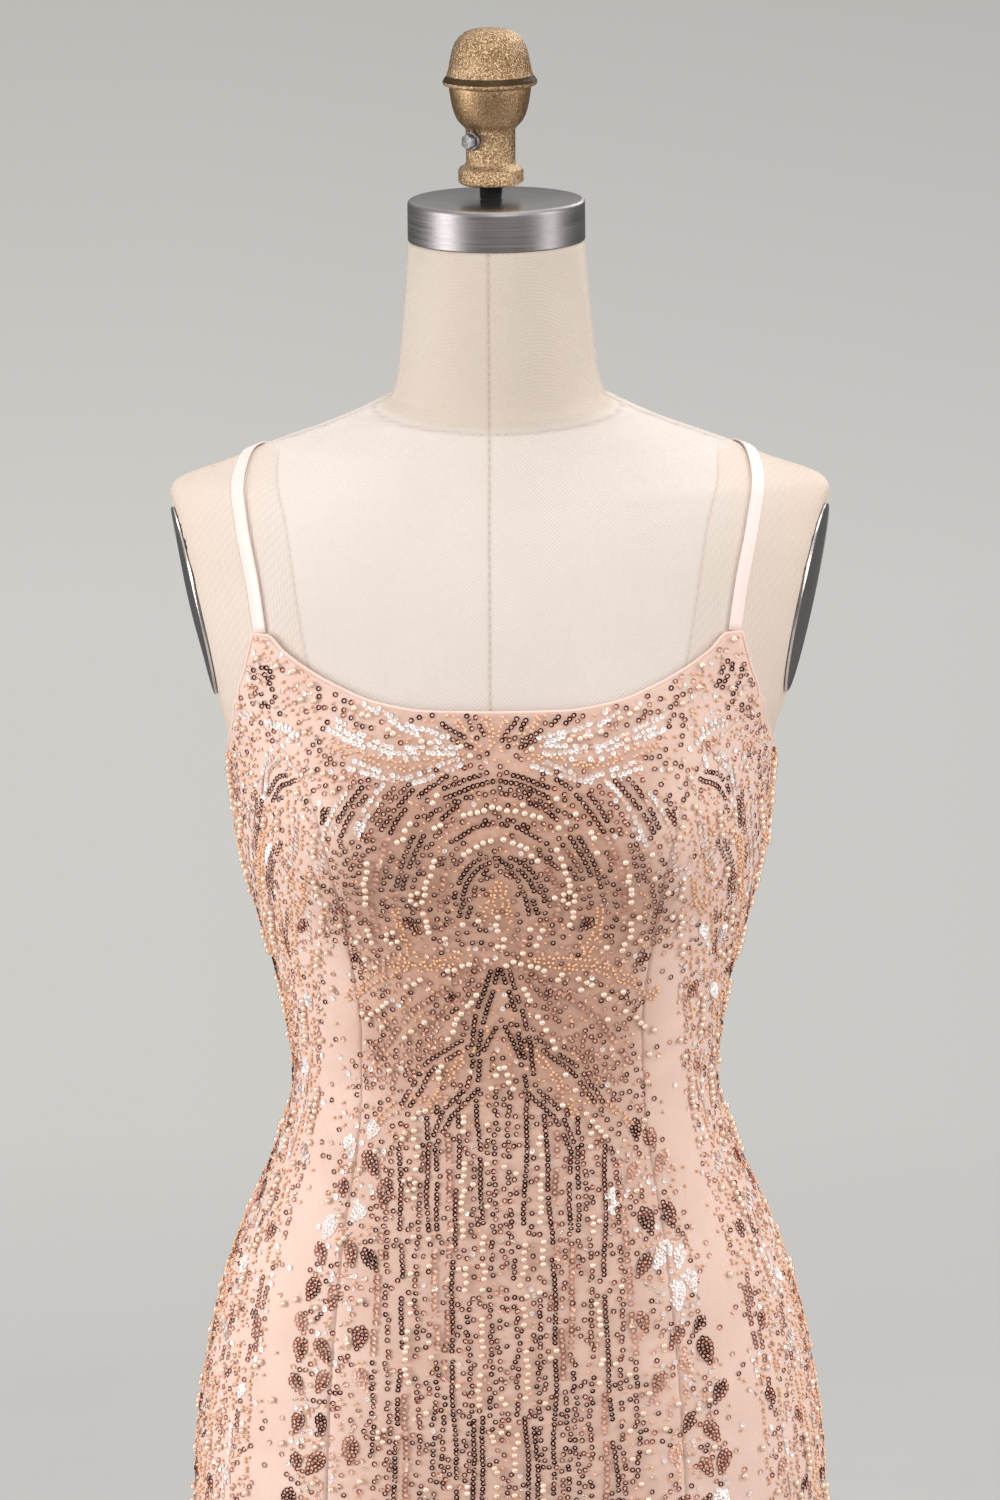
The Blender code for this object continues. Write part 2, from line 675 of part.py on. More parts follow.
def build_zip_slider():
    """A flat body with two ears, drilled for the pull's cross pin."""
    face, lean = zip_place()
    bm = bmesh.new()
    half, tall = SLIDER_WIDE / 2, SLIDER_TALL / 2
    outline_points = ((-half, -tall + 1.4), (-half + 1.4, -tall), (half - 1.4, -tall), (half, -tall + 1.4),
                      (half, tall - 1), (half - 1, tall), (-half + 1, tall), (-half, tall - 1))
    loft(bm, [[(x, y, z) for x, z in outline_points] for y in (0, SLIDER_THICK)])
    slider = add_object("zip_slider", bm, "zip_metal", 30)
    for side in (-1, 1):
        bm = bmesh.new()
        outer = side * (half - 0.2)
        inner = side * (half - 0.2 - EAR_THICK)
        box(bm, (min(inner, outer), SLIDER_THICK - 0.4, -EAR_TALL / 2),
            (max(inner, outer), SLIDER_THICK + EAR_REACH, EAR_TALL / 2))
        ear = add_object(f"ear_{side}", bm, "zip_metal")
        join_by_boolean(slider, ear, "UNION")
    bm = bmesh.new()
    bmesh.ops.create_cone(bm, cap_ends=True, segments=16, radius1=PIN_HOLE, radius2=PIN_HOLE, depth=SLIDER_WIDE * 2)
    bmesh.ops.rotate(bm, matrix=Matrix.Rotation(radians(90), 3, "Y"), verts=bm.verts)
    bmesh.ops.translate(bm, vec=(0, SLIDER_THICK + EAR_REACH / 2, 0), verts=bm.verts)
    hole = add_object("pin_hole", bm, "zip_metal")
    join_by_boolean(slider, hole, "DIFFERENCE")
    slider.data.transform(Matrix.Translation(face * MM) @ Matrix.Rotation(-lean, 4, "X"))


def join_by_boolean(target, tool, operation):
    """Applies one exact Boolean and removes the tool."""
    change = target.modifiers.new(operation.lower(), "BOOLEAN")
    change.operation = operation
    change.object = tool
    graph = bpy.context.evaluated_depsgraph_get()
    shaped = bpy.data.meshes.new_from_object(target.evaluated_get(graph))
    target.modifiers.clear()
    target.data = shaped
    drop_helper(tool)


def pull_axis():
    """The hinge axis of the pull, through the middle of the ears' holes."""
    face, lean = zip_place()
    return face + Matrix.Rotation(-lean, 3, "X") @ Vector((0, SLIDER_THICK + EAR_REACH / 2, 0))


def build_zip_pull():
    """A flat drop-shaped tab that hangs from its cross pin. The object's origin is on the hinge axis."""
    bm = bmesh.new()
    rows = ((0.9, PULL_NECK), (-2.6, PULL_NECK), (-5.5, 3.4), (-9, 4.6), (-13, PULL_WIDE), (-16.5, 5.0), (-PULL_LENGTH, 2.4))
    loft(bm, [[(-wide / 2, -PULL_THICK / 2, z), (wide / 2, -PULL_THICK / 2, z),
               (wide / 2, PULL_THICK / 2, z), (-wide / 2, PULL_THICK / 2, z)] for z, wide in rows])
    pull = add_object("zip_pull", bm, "zip_metal", 30)
    bm = bmesh.new()
    bmesh.ops.create_cone(bm, cap_ends=True, segments=12, radius1=PIN_RADIUS, radius2=PIN_RADIUS, depth=SLIDER_WIDE - 0.4)
    bmesh.ops.rotate(bm, matrix=Matrix.Rotation(radians(90), 3, "Y"), verts=bm.verts)
    pin = add_object("pull_pin", bm, "zip_metal")
    join_by_boolean(pull, pin, "UNION")
    pull.location = pull_axis() * MM


# ---------------------------------------------------------------- the whole part
def clear_scene():
    for old in list(bpy.data.objects):
        bpy.data.objects.remove(old)


def main():
    clear_scene()
    build_form()
    build_arm_plate("arm_plate_left", 1)
    build_arm_plate("arm_plate_right", -1)
    build_neck_fittings()
    build_clamp_bolt()
    build_stand()
    build_front_panel()
    for side, word in ((1, "left"), (-1, "right")):
        build_side_front(side, f"side_front_{word}")
        build_side_back(side, f"side_back_{word}")
        build_back(side, f"back_{word}")
        build_strap(side, f"strap_{word}")
    build_zip_slider()
    build_zip_pull()


main()
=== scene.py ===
# %% [markdown]
# # A beaded cocktail dress on a dress form
# This lesson dresses a construction frame. The frame holds the plain solids of the dress, the form and
# the stand at their real sizes. Here each visible surface gets its finish, and the soft and sparkling
# pieces are made again in finer detail: cloth shells, seams, sequins, pearls, canvas and metal.
# Everything is in metres with Z up. The wearer faces -Y, so the wearer's left is +X. Small sizes are
# written in millimetres, because that is how a dressmaker and a metalworker name them, and turned into
# metres last.

# %% Load the frame
from math import cos, pi, radians, sin, tan

import bpy
import numpy as np
from mathutils import Matrix, Vector


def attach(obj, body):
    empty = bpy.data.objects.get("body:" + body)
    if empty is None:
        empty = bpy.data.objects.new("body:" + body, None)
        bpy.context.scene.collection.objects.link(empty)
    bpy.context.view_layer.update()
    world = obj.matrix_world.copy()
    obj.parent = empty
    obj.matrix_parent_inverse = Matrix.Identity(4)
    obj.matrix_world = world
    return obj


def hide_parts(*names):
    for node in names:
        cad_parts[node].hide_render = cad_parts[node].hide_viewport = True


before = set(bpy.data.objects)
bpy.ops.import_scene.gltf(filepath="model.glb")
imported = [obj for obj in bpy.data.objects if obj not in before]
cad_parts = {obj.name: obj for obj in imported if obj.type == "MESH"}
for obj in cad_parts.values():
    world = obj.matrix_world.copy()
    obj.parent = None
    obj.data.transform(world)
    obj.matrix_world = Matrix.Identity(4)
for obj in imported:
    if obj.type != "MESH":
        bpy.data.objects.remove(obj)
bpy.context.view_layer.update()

MM = 0.001
BODY = "dress_on_form"
SIDES = ((1, "left"), (-1, "right"))

# %% [markdown]
# ## The camera
# A long lens from four metres keeps the form from looking swollen. The camera stands above the shoulders
# and looks a little down. Its matrix is built from three directions, so that a small roll of the tripod
# head can be put in. The lens is worked out from how many millimetres one pixel of the picture
# covers.

# %% Camera
CAMERA_AWAY = 4.0
EYE_LEVEL, LOOK_DOWN = 1.5, radians(8.7)
CAMERA_ABOVE = EYE_LEVEL + CAMERA_AWAY * tan(LOOK_DOWN)
CAMERA_ROUND = radians(1.5)
CAMERA_ROLL = radians(-0.62)
AIM = Vector((-0.0012, 0, 1.178))
METRES_PER_PIXEL = 0.000578
PICTURE_TALL = 1500
SENSOR = 36


def place_camera():
    eye = Vector((CAMERA_AWAY * sin(CAMERA_ROUND), -CAMERA_AWAY * cos(CAMERA_ROUND), CAMERA_ABOVE))
    ahead = (AIM - eye).normalized()
    level = ahead.cross(Vector((0, 0, 1))).normalized()
    upward = level.cross(ahead)
    right = level * cos(CAMERA_ROLL) + upward * sin(CAMERA_ROLL)
    up = upward * cos(CAMERA_ROLL) - level * sin(CAMERA_ROLL)
    data = bpy.data.cameras.new("studio_camera")
    data.sensor_width = SENSOR
    data.lens = (AIM - eye).length / METRES_PER_PIXEL / PICTURE_TALL * SENSOR
    data.clip_end = 60
    camera = bpy.data.objects.new("studio_camera", data)
    bpy.context.scene.collection.objects.link(camera)
    camera.matrix_world = Matrix.Translation(eye) @ Matrix((right, up, -ahead)).transposed().to_4x4()
    bpy.context.scene.camera = camera
    return camera


camera = place_camera()
print("lens", round(camera.data.lens, 1), "mm")

# %% [markdown]
# ## A small kit for shader nodes
# Every material below is a tree of shader nodes. Writing each node in one call keeps the trees short
# enough to read: an input is given either a plain value or the output socket of another node.

# %% Node helpers
def node(tree, kind, inputs=(), **settings):
    """Adds one node. inputs maps a socket's name or number to a value or to another node's output."""
    made = tree.nodes.new(kind)
    for key, value in settings.items():
        setattr(made, key, value)
    for key, value in dict(inputs).items():
        if isinstance(value, bpy.types.NodeSocket):
            tree.links.new(value, made.inputs[key])
        else:
            made.inputs[key].default_value = value
    return made


def sum_of(tree, operation, first, second=0.0, third=0.0):
    """One step of arithmetic between sockets or numbers."""
    return node(tree, "ShaderNodeMath", {0: first, 1: second, 2: third}, operation=operation).outputs[0]


def mixed(tree, share, first, second):
    """A colour between two colours."""
    return node(tree, "ShaderNodeMix", {0: share, 6: first, 7: second}, data_type="RGBA").outputs[2]


def ranged(tree, value, low, high, new_low=0.0, new_high=1.0):
    """A value moved from one range to another and held inside it."""
    made = node(tree, "ShaderNodeMapRange", {0: value, 1: low, 2: high, 3: new_low, 4: new_high})
    return made.outputs[0]


def between(tree, share, low, high):
    """The number at a share of the way from low to high."""
    return ranged(tree, share, 0.0, 1.0, low, high)


def colour(red, green, blue):
    return (red, green, blue, 1.0)


def object_place(tree):
    return node(tree, "ShaderNodeTexCoord").outputs["Object"]


def cut_place(tree):
    return node(tree, "ShaderNodeUVMap", uv_map="cut").outputs[0]


def stored(tree, name):
    """A number that a mesh keeps on each of its points."""
    return node(tree, "ShaderNodeAttribute", attribute_name=name).outputs["Fac"]


def start_material(name, **sockets):
    """A material with one Principled shader; sockets are its plain values, with _ for a space."""
    made = bpy.data.materials.new(name)
    made.use_nodes = True
    shader = made.node_tree.nodes["Principled BSDF"]
    for key, value in sockets.items():
        shader.inputs[key.replace("_", " ")].default_value = value
    return made, made.node_tree, shader


def paint(tree, shader, tint, roughness=None):
    """Sends a colour, and a roughness where there is one, to the shader."""
    tree.links.new(tint, shader.inputs["Base Color"])
    if roughness is not None:
        tree.links.new(roughness, shader.inputs["Roughness"])


def raise_by(tree, shader, height, millimetres, strength=1.0):
    """Sends a height through a Bump node to the shader."""
    bump = node(tree, "ShaderNodeBump",
                {"Strength": strength, "Distance": millimetres * MM, "Height": height})
    tree.links.new(bump.outputs[0], shader.inputs["Normal"])


def start_group(name, inputs, outputs):
    """An empty node group with named inputs (name, type, value) and outputs (name, type)."""
    group = bpy.data.node_groups.new(name, "ShaderNodeTree")
    for label, kind, value in inputs:
        socket = group.interface.new_socket(label, in_out="INPUT", socket_type=kind)
        if value is not None:
            socket.default_value = value
    for label, kind in outputs:
        group.interface.new_socket(label, in_out="OUTPUT", socket_type=kind)
    return group, node(group, "NodeGroupInput"), node(group, "NodeGroupOutput")


def use_group(tree, group, inputs):
    return node(tree, "ShaderNodeGroup", inputs, node_tree=group).outputs


FLOAT, VECTOR = "NodeSocketFloat", "NodeSocketVector"
print("node kit ready")

# %% [markdown]
# ## Light and backdrop
# Sequins are tiny mirrors, so a beaded dress is lit with large soft panels: each sequin that happens to
# face a panel flashes. The panel on the wearer's right is the stronger one, which is why that side of the
# bodice sparkles most. The backdrop is a plain grey that only the camera sees, and a weaker even light
# fills the rest.

# %% Backdrop and floor
BACKDROP_HIGH = colour(0.503, 0.497, 0.474)
BACKDROP_LOW = colour(0.617, 0.610, 0.584)
BACKDROP_TOP, BACKDROP_MIDDLE = -0.122, -0.205  # the slopes of a look at its top and at its palest height
BACKDROP_SIDE_FADE = 0.945
SIDE_SLOPE = 0.07
FILL_LOW, FILL_LEVEL, FILL_HIGH = 0.42, 0.26, 0.66
MIRROR_LOW, MIRROR_LEVEL, MIRROR_HIGH = 0.30, 0.10, 0.85  # the darker room that shiny things see
FLOOR_RADIUS, FLOOR_FADE_START = 3.3, 1.3
FLOOR_DARK, FLOOR_PALE = colour(0.47, 0.463, 0.452), colour(0.51, 0.502, 0.49)
FLOOR_BELOW = 0.0005  # keeps the floor just clear of the base


def make_world():
    world = bpy.data.worlds.new("studio")
    world.use_nodes = True
    tree = world.node_tree
    tree.nodes.clear()
    heading = node(tree, "ShaderNodeTexCoord").outputs["Generated"]
    ways = node(tree, "ShaderNodeSeparateXYZ", {0: heading}).outputs
    seen = mixed(tree, ranged(tree, ways[2], BACKDROP_TOP, BACKDROP_MIDDLE), BACKDROP_HIGH, BACKDROP_LOW)
    fade = ranged(tree, ways[0], -SIDE_SLOPE, SIDE_SLOPE, 1.0, BACKDROP_SIDE_FADE)
    backdrop = node(tree, "ShaderNodeBackground", {0: seen, 1: fade})
    above = ranged(tree, ways[2], 0.0, 0.7, FILL_LEVEL, FILL_HIGH)
    strength = sum_of(tree, "MAXIMUM", above, ranged(tree, ways[2], -0.15, -0.6, FILL_LEVEL, FILL_LOW))
    bright = ranged(tree, ways[2], 0.05, 0.75, MIRROR_LEVEL, MIRROR_HIGH)
    bright = sum_of(tree, "MAXIMUM", bright, ranged(tree, ways[2], -0.2, -0.7, MIRROR_LEVEL, MIRROR_LOW))
    path = node(tree, "ShaderNodeLightPath").outputs
    lit = node(tree, "ShaderNodeMix", {0: path["Is Glossy Ray"], 2: strength, 3: bright}).outputs[0]
    fill = node(tree, "ShaderNodeBackground", {0: colour(1.0, 0.985, 0.965), 1: lit})
    both = node(tree, "ShaderNodeMixShader",
                {0: path["Is Camera Ray"], 1: fill.outputs[0], 2: backdrop.outputs[0]})
    node(tree, "ShaderNodeOutputWorld", {0: both.outputs[0]})
    bpy.context.scene.world = world


def make_floor():
    """A pale disc that melts into the backdrop towards its rim."""
    bpy.ops.mesh.primitive_circle_add(vertices=96, radius=FLOOR_RADIUS, fill_type="NGON")
    floor = bpy.context.object
    floor.name = "studio_floor"
    floor.data.transform(Matrix.Translation((0, 0, -FLOOR_BELOW)))
    material, tree, shader = start_material("studio_floor", Roughness=0.75)
    place = object_place(tree)
    distance = node(tree, "ShaderNodeVectorMath", {0: place}, operation="LENGTH").outputs["Value"]
    specks = node(tree, "ShaderNodeTexNoise", {"Vector": place, "Scale": 3.0, "Detail": 3.0}).outputs[0]
    paint(tree, shader, mixed(tree, ranged(tree, specks, 0.3, 0.7), FLOOR_DARK, FLOOR_PALE))
    fade = ranged(tree, distance, FLOOR_FADE_START, FLOOR_RADIUS, 1.0, 0.0)
    tree.links.new(fade, shader.inputs["Alpha"])
    floor.data.materials.append(material)


make_world()
make_floor()
bpy.context.scene.view_settings.view_transform = "Standard"
print("backdrop and floor made")

# %% Soft panels
def soft_panel(name, place, aim, wide, tall, power, tint):
    data = bpy.data.lights.new(name, "AREA")
    data.shape = "RECTANGLE"
    data.size, data.size_y = wide, tall
    data.energy = power
    data.color = tint
    lamp = bpy.data.objects.new(name, data)
    bpy.context.scene.collection.objects.link(lamp)
    heading = (Vector(aim) - Vector(place)).normalized()
    lamp.matrix_world = Matrix.Translation(place) @ heading.to_track_quat("-Z", "Y").to_matrix().to_4x4()


CHEST = (0, 0, 1.15)
WARM, CLEAN = (1.0, 0.975, 0.95), (1.0, 1.0, 1.0)
soft_panel("panel_right_hand", (-2.72, -1.15, 1.35), CHEST, 1.2, 2.2, 74, CLEAN)
soft_panel("panel_left_hand", (2.65, -0.8, 1.8), CHEST, 0.9, 2.4, 44, CLEAN)
soft_panel("panel_front", (0.7, -3.4, 3.0), CHEST, 1.6, 0.9, 51, WARM)
soft_panel("panel_above", (0.1, 0.2, 3.6), CHEST, 1.8, 1.4, 22, CLEAN)
soft_panel("panel_behind", (1.4, 2.6, 3.1), CHEST, 1.6, 1.6, 40, CLEAN)
print("five soft panels")

# %% [markdown]
# ## The figure as a table
# A dress form is described by a few levels, each with its width, its depth in front and behind, and how
# square it is. A smooth curve through each column gives every height in between. The same levels made the
# solids of the frame, so the finer cloth made here lies exactly where the plain cloth lay.

# %% Levels of the figure, in millimetres
LEVEL_HEIGHT, LEVEL_HALF, LEVEL_FRONT, LEVEL_BACK, LEVEL_POWER = range(5)
FIGURE = np.array((
    (560, 180.0, 93.0, 113.0, 2.2), (640, 182.5, 94.5, 116.5, 2.2), (715, 183.5, 96.0, 119.0, 2.25),
    (760, 181.5, 97.0, 119.0, 2.3), (808, 175.5, 97.0, 115.0, 2.3), (858, 164.0, 95.0, 104.0, 2.3),
    (907, 146.0, 91.5, 89.0, 2.25), (945, 130.0, 89.0, 79.0, 2.2), (985, 120.5, 87.5, 73.5, 2.2),
    (1030, 125.0, 91.0, 76.0, 2.2), (1088, 140.0, 100.0, 86.0, 2.25), (1136, 151.0, 109.0, 95.0, 2.3),
    (1160, 153.0, 111.5, 99.0, 2.3), (1190, 157.0, 111.5, 103.0, 2.3), (1226, 174.0, 108.0, 106.0, 2.3),
    (1263, 190.0, 101.0, 106.0, 2.3), (1300, 194.0, 91.5, 100.0, 2.2), (1325, 191.5, 83.0, 92.0, 2.0),
    (1337, 186.5, 78.0, 86.0, 1.85), (1348, 158.5, 73.5, 80.0, 1.75), (1360, 129.5, 68.5, 73.0, 1.7),
    (1372, 95.5, 63.5, 66.0, 1.75), (1383, 70.0, 60.5, 60.5, 1.9), (1388, 61.0, 59.0, 58.5, 2.0),
    (1420, 55.0, 55.0, 54.5, 2.0), (1476, 50.2, 50.2, 50.2, 2.0)))


def smooth_curve(places, values):
    """A curve through the points that rises and falls only where they do. It takes one place or many."""
    places, values = np.asarray(places, float), np.asarray(values, float)
    gaps = np.diff(places)
    rises = np.diff(values) / gaps
    slopes = np.concatenate([[rises[0]], np.zeros(len(gaps) - 1), [rises[-1]]])
    for i in range(1, len(gaps)):
        if rises[i - 1] * rises[i] > 0:
            first, second = 2 * gaps[i] + gaps[i - 1], gaps[i] + 2 * gaps[i - 1]
            slopes[i] = (first + second) / (first / rises[i - 1] + second / rises[i])

    def curve(place):
        place = np.clip(np.asarray(place, float), places[0], places[-1])
        i = np.clip(np.searchsorted(places, place, side="right") - 1, 0, len(gaps) - 1)
        t = (place - places[i]) / gaps[i]
        return (values[i] * (1 + 2 * t) * (1 - t) ** 2 + slopes[i] * gaps[i] * t * (1 - t) ** 2
                + values[i + 1] * t * t * (3 - 2 * t) + slopes[i + 1] * gaps[i] * t * t * (t - 1))

    return curve


def curve_of(rows, place=0, value=1):
    return smooth_curve([row[place] for row in rows], [row[value] for row in rows])


figure_half, figure_front, figure_back, figure_power = (
    curve_of(FIGURE, LEVEL_HEIGHT, column)
    for column in (LEVEL_HALF, LEVEL_FRONT, LEVEL_BACK, LEVEL_POWER))
WAIST = 985
print("waist is", round(2 * float(figure_half(WAIST))), "mm wide")

# %% The outline at one height
BUST_HEIGHT, BUST_SIDE, BUST_SWELL, BUST_ACROSS, BUST_UP = 1160, 88, 19, 42, 50
BRIDGE_SWELL, BRIDGE_ACROSS = 7, 55  # cloth bridges the hollow between the busts
SWELL_FADE = 60
ARM_CUT_HALF, ARM_CUT_HEIGHT, ARM_CUT_FOOT, ARM_CUT_LEAN, ARM_CUT_TOE = 166.2, 1222, 1192, 0.205, 0.155
HEM, HEM_WAVE, HEM_WAVES, HEM_WAVE_TOP = 560, 2.2, 7, 760
TURN = np.linspace(0, pi, 361)


def unit(vectors):
    return vectors / np.linalg.norm(vectors, axis=-1, keepdims=True)


def length_along(points):
    """The distance from the first point to each one."""
    return np.concatenate([[0], np.cumsum(np.linalg.norm(np.diff(points, axis=0), axis=1))])


def arm_cut(height, depth):
    """How far out the flat armhole face lies."""
    return ARM_CUT_HALF + ARM_CUT_LEAN * (height - ARM_CUT_HEIGHT) + ARM_CUT_TOE * depth


def outline(height, clothed):
    """(across, depth, distance round) from the centre front round the left side to the centre back."""
    share = 2 / figure_power(height)
    across = figure_half(height) * np.abs(np.sin(TURN)) ** share
    reach = np.where(TURN < pi / 2, figure_front(height), figure_back(height))
    depth = -np.sign(np.cos(TURN)) * reach * np.abs(np.cos(TURN)) ** share
    level = np.exp(-(((height - BUST_HEIGHT) / BUST_UP) ** 2))
    swell = BUST_SWELL * np.exp(-(((across - BUST_SIDE) / BUST_ACROSS) ** 2))
    if clothed:
        swell = swell + BRIDGE_SWELL * np.exp(-((across / BRIDGE_ACROSS) ** 2))
    depth = depth - np.where(TURN < pi / 2, swell * level * np.clip(-depth / SWELL_FADE, 0, 1), 0)
    if height > ARM_CUT_FOOT:
        across = np.minimum(across, arm_cut(height, depth))
    if clothed and height < HEM_WAVE_TOP:
        fade = (HEM_WAVE_TOP - height) / (HEM_WAVE_TOP - HEM)
        wave = 1 + HEM_WAVE * fade * fade * np.cos(HEM_WAVES * TURN) / figure_half(height)
        across, depth = across * wave, depth * wave
    return across, depth, np.concatenate([[0], np.cumsum(np.hypot(np.diff(across), np.diff(depth)))])


class Skin:
    """The figure's surface. A place on it is a height and a distance round from the centre front, which
    is minus on the wearer's right."""

    COLUMNS = 301

    def __init__(self, clothed, low, high, step):
        self.low, self.step = low, step
        self.heights = np.arange(low, high + step, step, dtype=float)
        self.outlines = [outline(height, clothed) for height in self.heights]
        self.half_girths = np.array([along[-1] for _, _, along in self.outlines])
        shares = np.linspace(0, 1, self.COLUMNS)
        rows = []
        for height, (across, depth, along) in zip(self.heights, self.outlines):
            places = shares * along[-1]
            rows.append(np.stack([np.interp(places, along, across), np.interp(places, along, depth),
                                  np.full(self.COLUMNS, height)], axis=1))
        self.points = np.array(rows)
        normals = np.cross(np.gradient(self.points, axis=1), np.gradient(self.points, axis=0))
        self.normals = normals / np.maximum(np.linalg.norm(normals, axis=2, keepdims=True), 1e-9)

    def half_girth(self, height):
        return np.interp(height, self.heights, self.half_girths)

    def girth_at(self, height, across, behind=False):
        """The distance round to a sideways distance, for one height or for many."""
        def reach(level, one_across):
            outs, _, along = level
            widest = int(np.argmax(outs))
            if behind:
                return np.interp(-one_across, -outs[widest:], along[widest:])
            return np.interp(one_across, outs[: widest + 1], along[: widest + 1])

        found = []
        for one_height, one_across in np.broadcast(height, across):
            low, high, share = self._levels(one_height)
            found.append(reach(low, one_across) * (1 - share) + reach(high, one_across) * share)
        return np.array(found).reshape(np.broadcast(height, across).shape)

    def side_girth(self, height):
        found = [self._levels(one)[0] for one in np.atleast_1d(height)]
        return np.array([along[int(np.argmax(outs))] for outs, _, along in found])

    def _levels(self, height):
        """The outlines below and above a height, and its share of the way from one to the other."""
        last = len(self.outlines) - 1
        place = min(max((float(height) - self.low) / self.step, 0), last)
        return self.outlines[int(place)], self.outlines[min(int(place) + 1, last)], place - int(place)

    def at(self, height, girth):
        """(points, outward normals) in millimetres. A girth past the centre back comes round again."""
        height, girth = np.broadcast_arrays(np.asarray(height, float), np.asarray(girth, float))
        half = self.half_girth(height)
        girth = (girth + half) % (2 * half) - half
        down = np.clip((height - self.low) / self.step, 0, len(self.heights) - 1.001)
        over = np.clip(np.abs(girth) / half, 0, 1) * (self.COLUMNS - 1.001)
        i, j = down.astype(int), over.astype(int)
        a, b = (down - i)[..., None], (over - j)[..., None]
        side = np.where(girth < 0, -1.0, 1.0)
        found = []
        for table in (self.points, self.normals):
            value = ((table[i, j] * (1 - b) + table[i, j + 1] * b) * (1 - a)
                     + (table[i + 1, j] * (1 - b) + table[i + 1, j + 1] * b) * a)
            value[..., 0] *= side
            found.append(value)
        points, normals = found
        points[..., 2] = height
        return points, unit(normals)


SKIN_STEP, DRESS_HIGHEST, FORM_FOOT, NECK_TOP = 1.0, 1270, 700, 1476
dressed = Skin(True, HEM, DRESS_HIGHEST, SKIN_STEP)
bare = Skin(False, FORM_FOOT, NECK_TOP, SKIN_STEP)
print("girth at the hem and the waist:", [round(2 * dressed.half_girth(level)) for level in (HEM, WAIST)])

# %% [markdown]
# ## Cutting lines
# The dress is cut in seven panels: one across the front between two princess seams, two side fronts, two
# side backs and two backs that meet at a hidden zip. The tables say how far each seam runs from the
# centre, and how high the neckline is at each distance.

# %% Seams and edges of the dress
FRONT_SEAM = ((560, 103), (700, 104), (800, 101), (900, 92), (985, 80), (1030, 79), (1085, 85),
              (1142, 95), (1180, 106), (1205, 125), (1226, 146.2), (1245, 141.6), (1264, 137))
BACK_SEAM = ((560, 86), (700, 87), (808, 80), (900, 66), (985, 56), (1088, 72), (1190, 92))
NECKLINE = ((0, 1225.0), (38, 1225.5), (68, 1230.0), (88, 1237.5), (105, 1246.0), (120, 1256.0),
            (129, 1264.0), (160, 1264.0))
ARMHOLE_TOP, UNDERARM, BACK_STRAP_TOP, BACK_CENTRE_TOP, YOKE = 1226, 1180, 1186, 1168, 1125
ARMHOLE = ((0, 1226), (0.1, 1219), (0.3, 1210), (0.5, 1202), (0.7, 1191.5), (0.9, 1182), (1, 1180))
SEAM_GAP = 0.16
NECK_GUESS, NECK_ROUNDS = 1240.0, 14  # the neckline's height is closed in on from a first guess
SIDE_BACK_HOLLOW = 7
side_front_edge = curve_of(ARMHOLE)
neckline_height = curve_of(NECKLINE)
FINE_HEIGHTS = dressed.heights
front_seam_girths = dressed.girth_at(FINE_HEIGHTS, curve_of(FRONT_SEAM)(FINE_HEIGHTS))
back_seam_girths = dressed.girth_at(FINE_HEIGHTS, curve_of(BACK_SEAM)(FINE_HEIGHTS), behind=True)
side_seam_girths = dressed.side_girth(FINE_HEIGHTS)


def front_seam(height):
    return np.interp(height, FINE_HEIGHTS, front_seam_girths)


def side_seam(height):
    return np.interp(height, FINE_HEIGHTS, side_seam_girths)


def back_seam(height):
    return np.interp(height, FINE_HEIGHTS, back_seam_girths)


def centre_back(height):
    return dressed.half_girth(height)


def neck_edge(share):
    """The neckline's height on the column that runs at this share across the front panel."""
    height = np.full(np.shape(share), NECK_GUESS)
    for _ in range(NECK_ROUNDS):
        girth = front_seam(height) * (2 * np.asarray(share) - 1)
        height = neckline_height(np.abs(dressed.at(height, girth)[0][..., 0]))
    return height


def side_back_edge(share):
    return UNDERARM + (BACK_STRAP_TOP - UNDERARM) * share - SIDE_BACK_HOLLOW * np.sin(pi * share)


def back_edge(share):
    return BACK_CENTRE_TOP + (BACK_STRAP_TOP - BACK_CENTRE_TOP) * (1 - share) ** 2


print("neckline is", round(float(neck_edge(0.5))), "mm high in the middle")
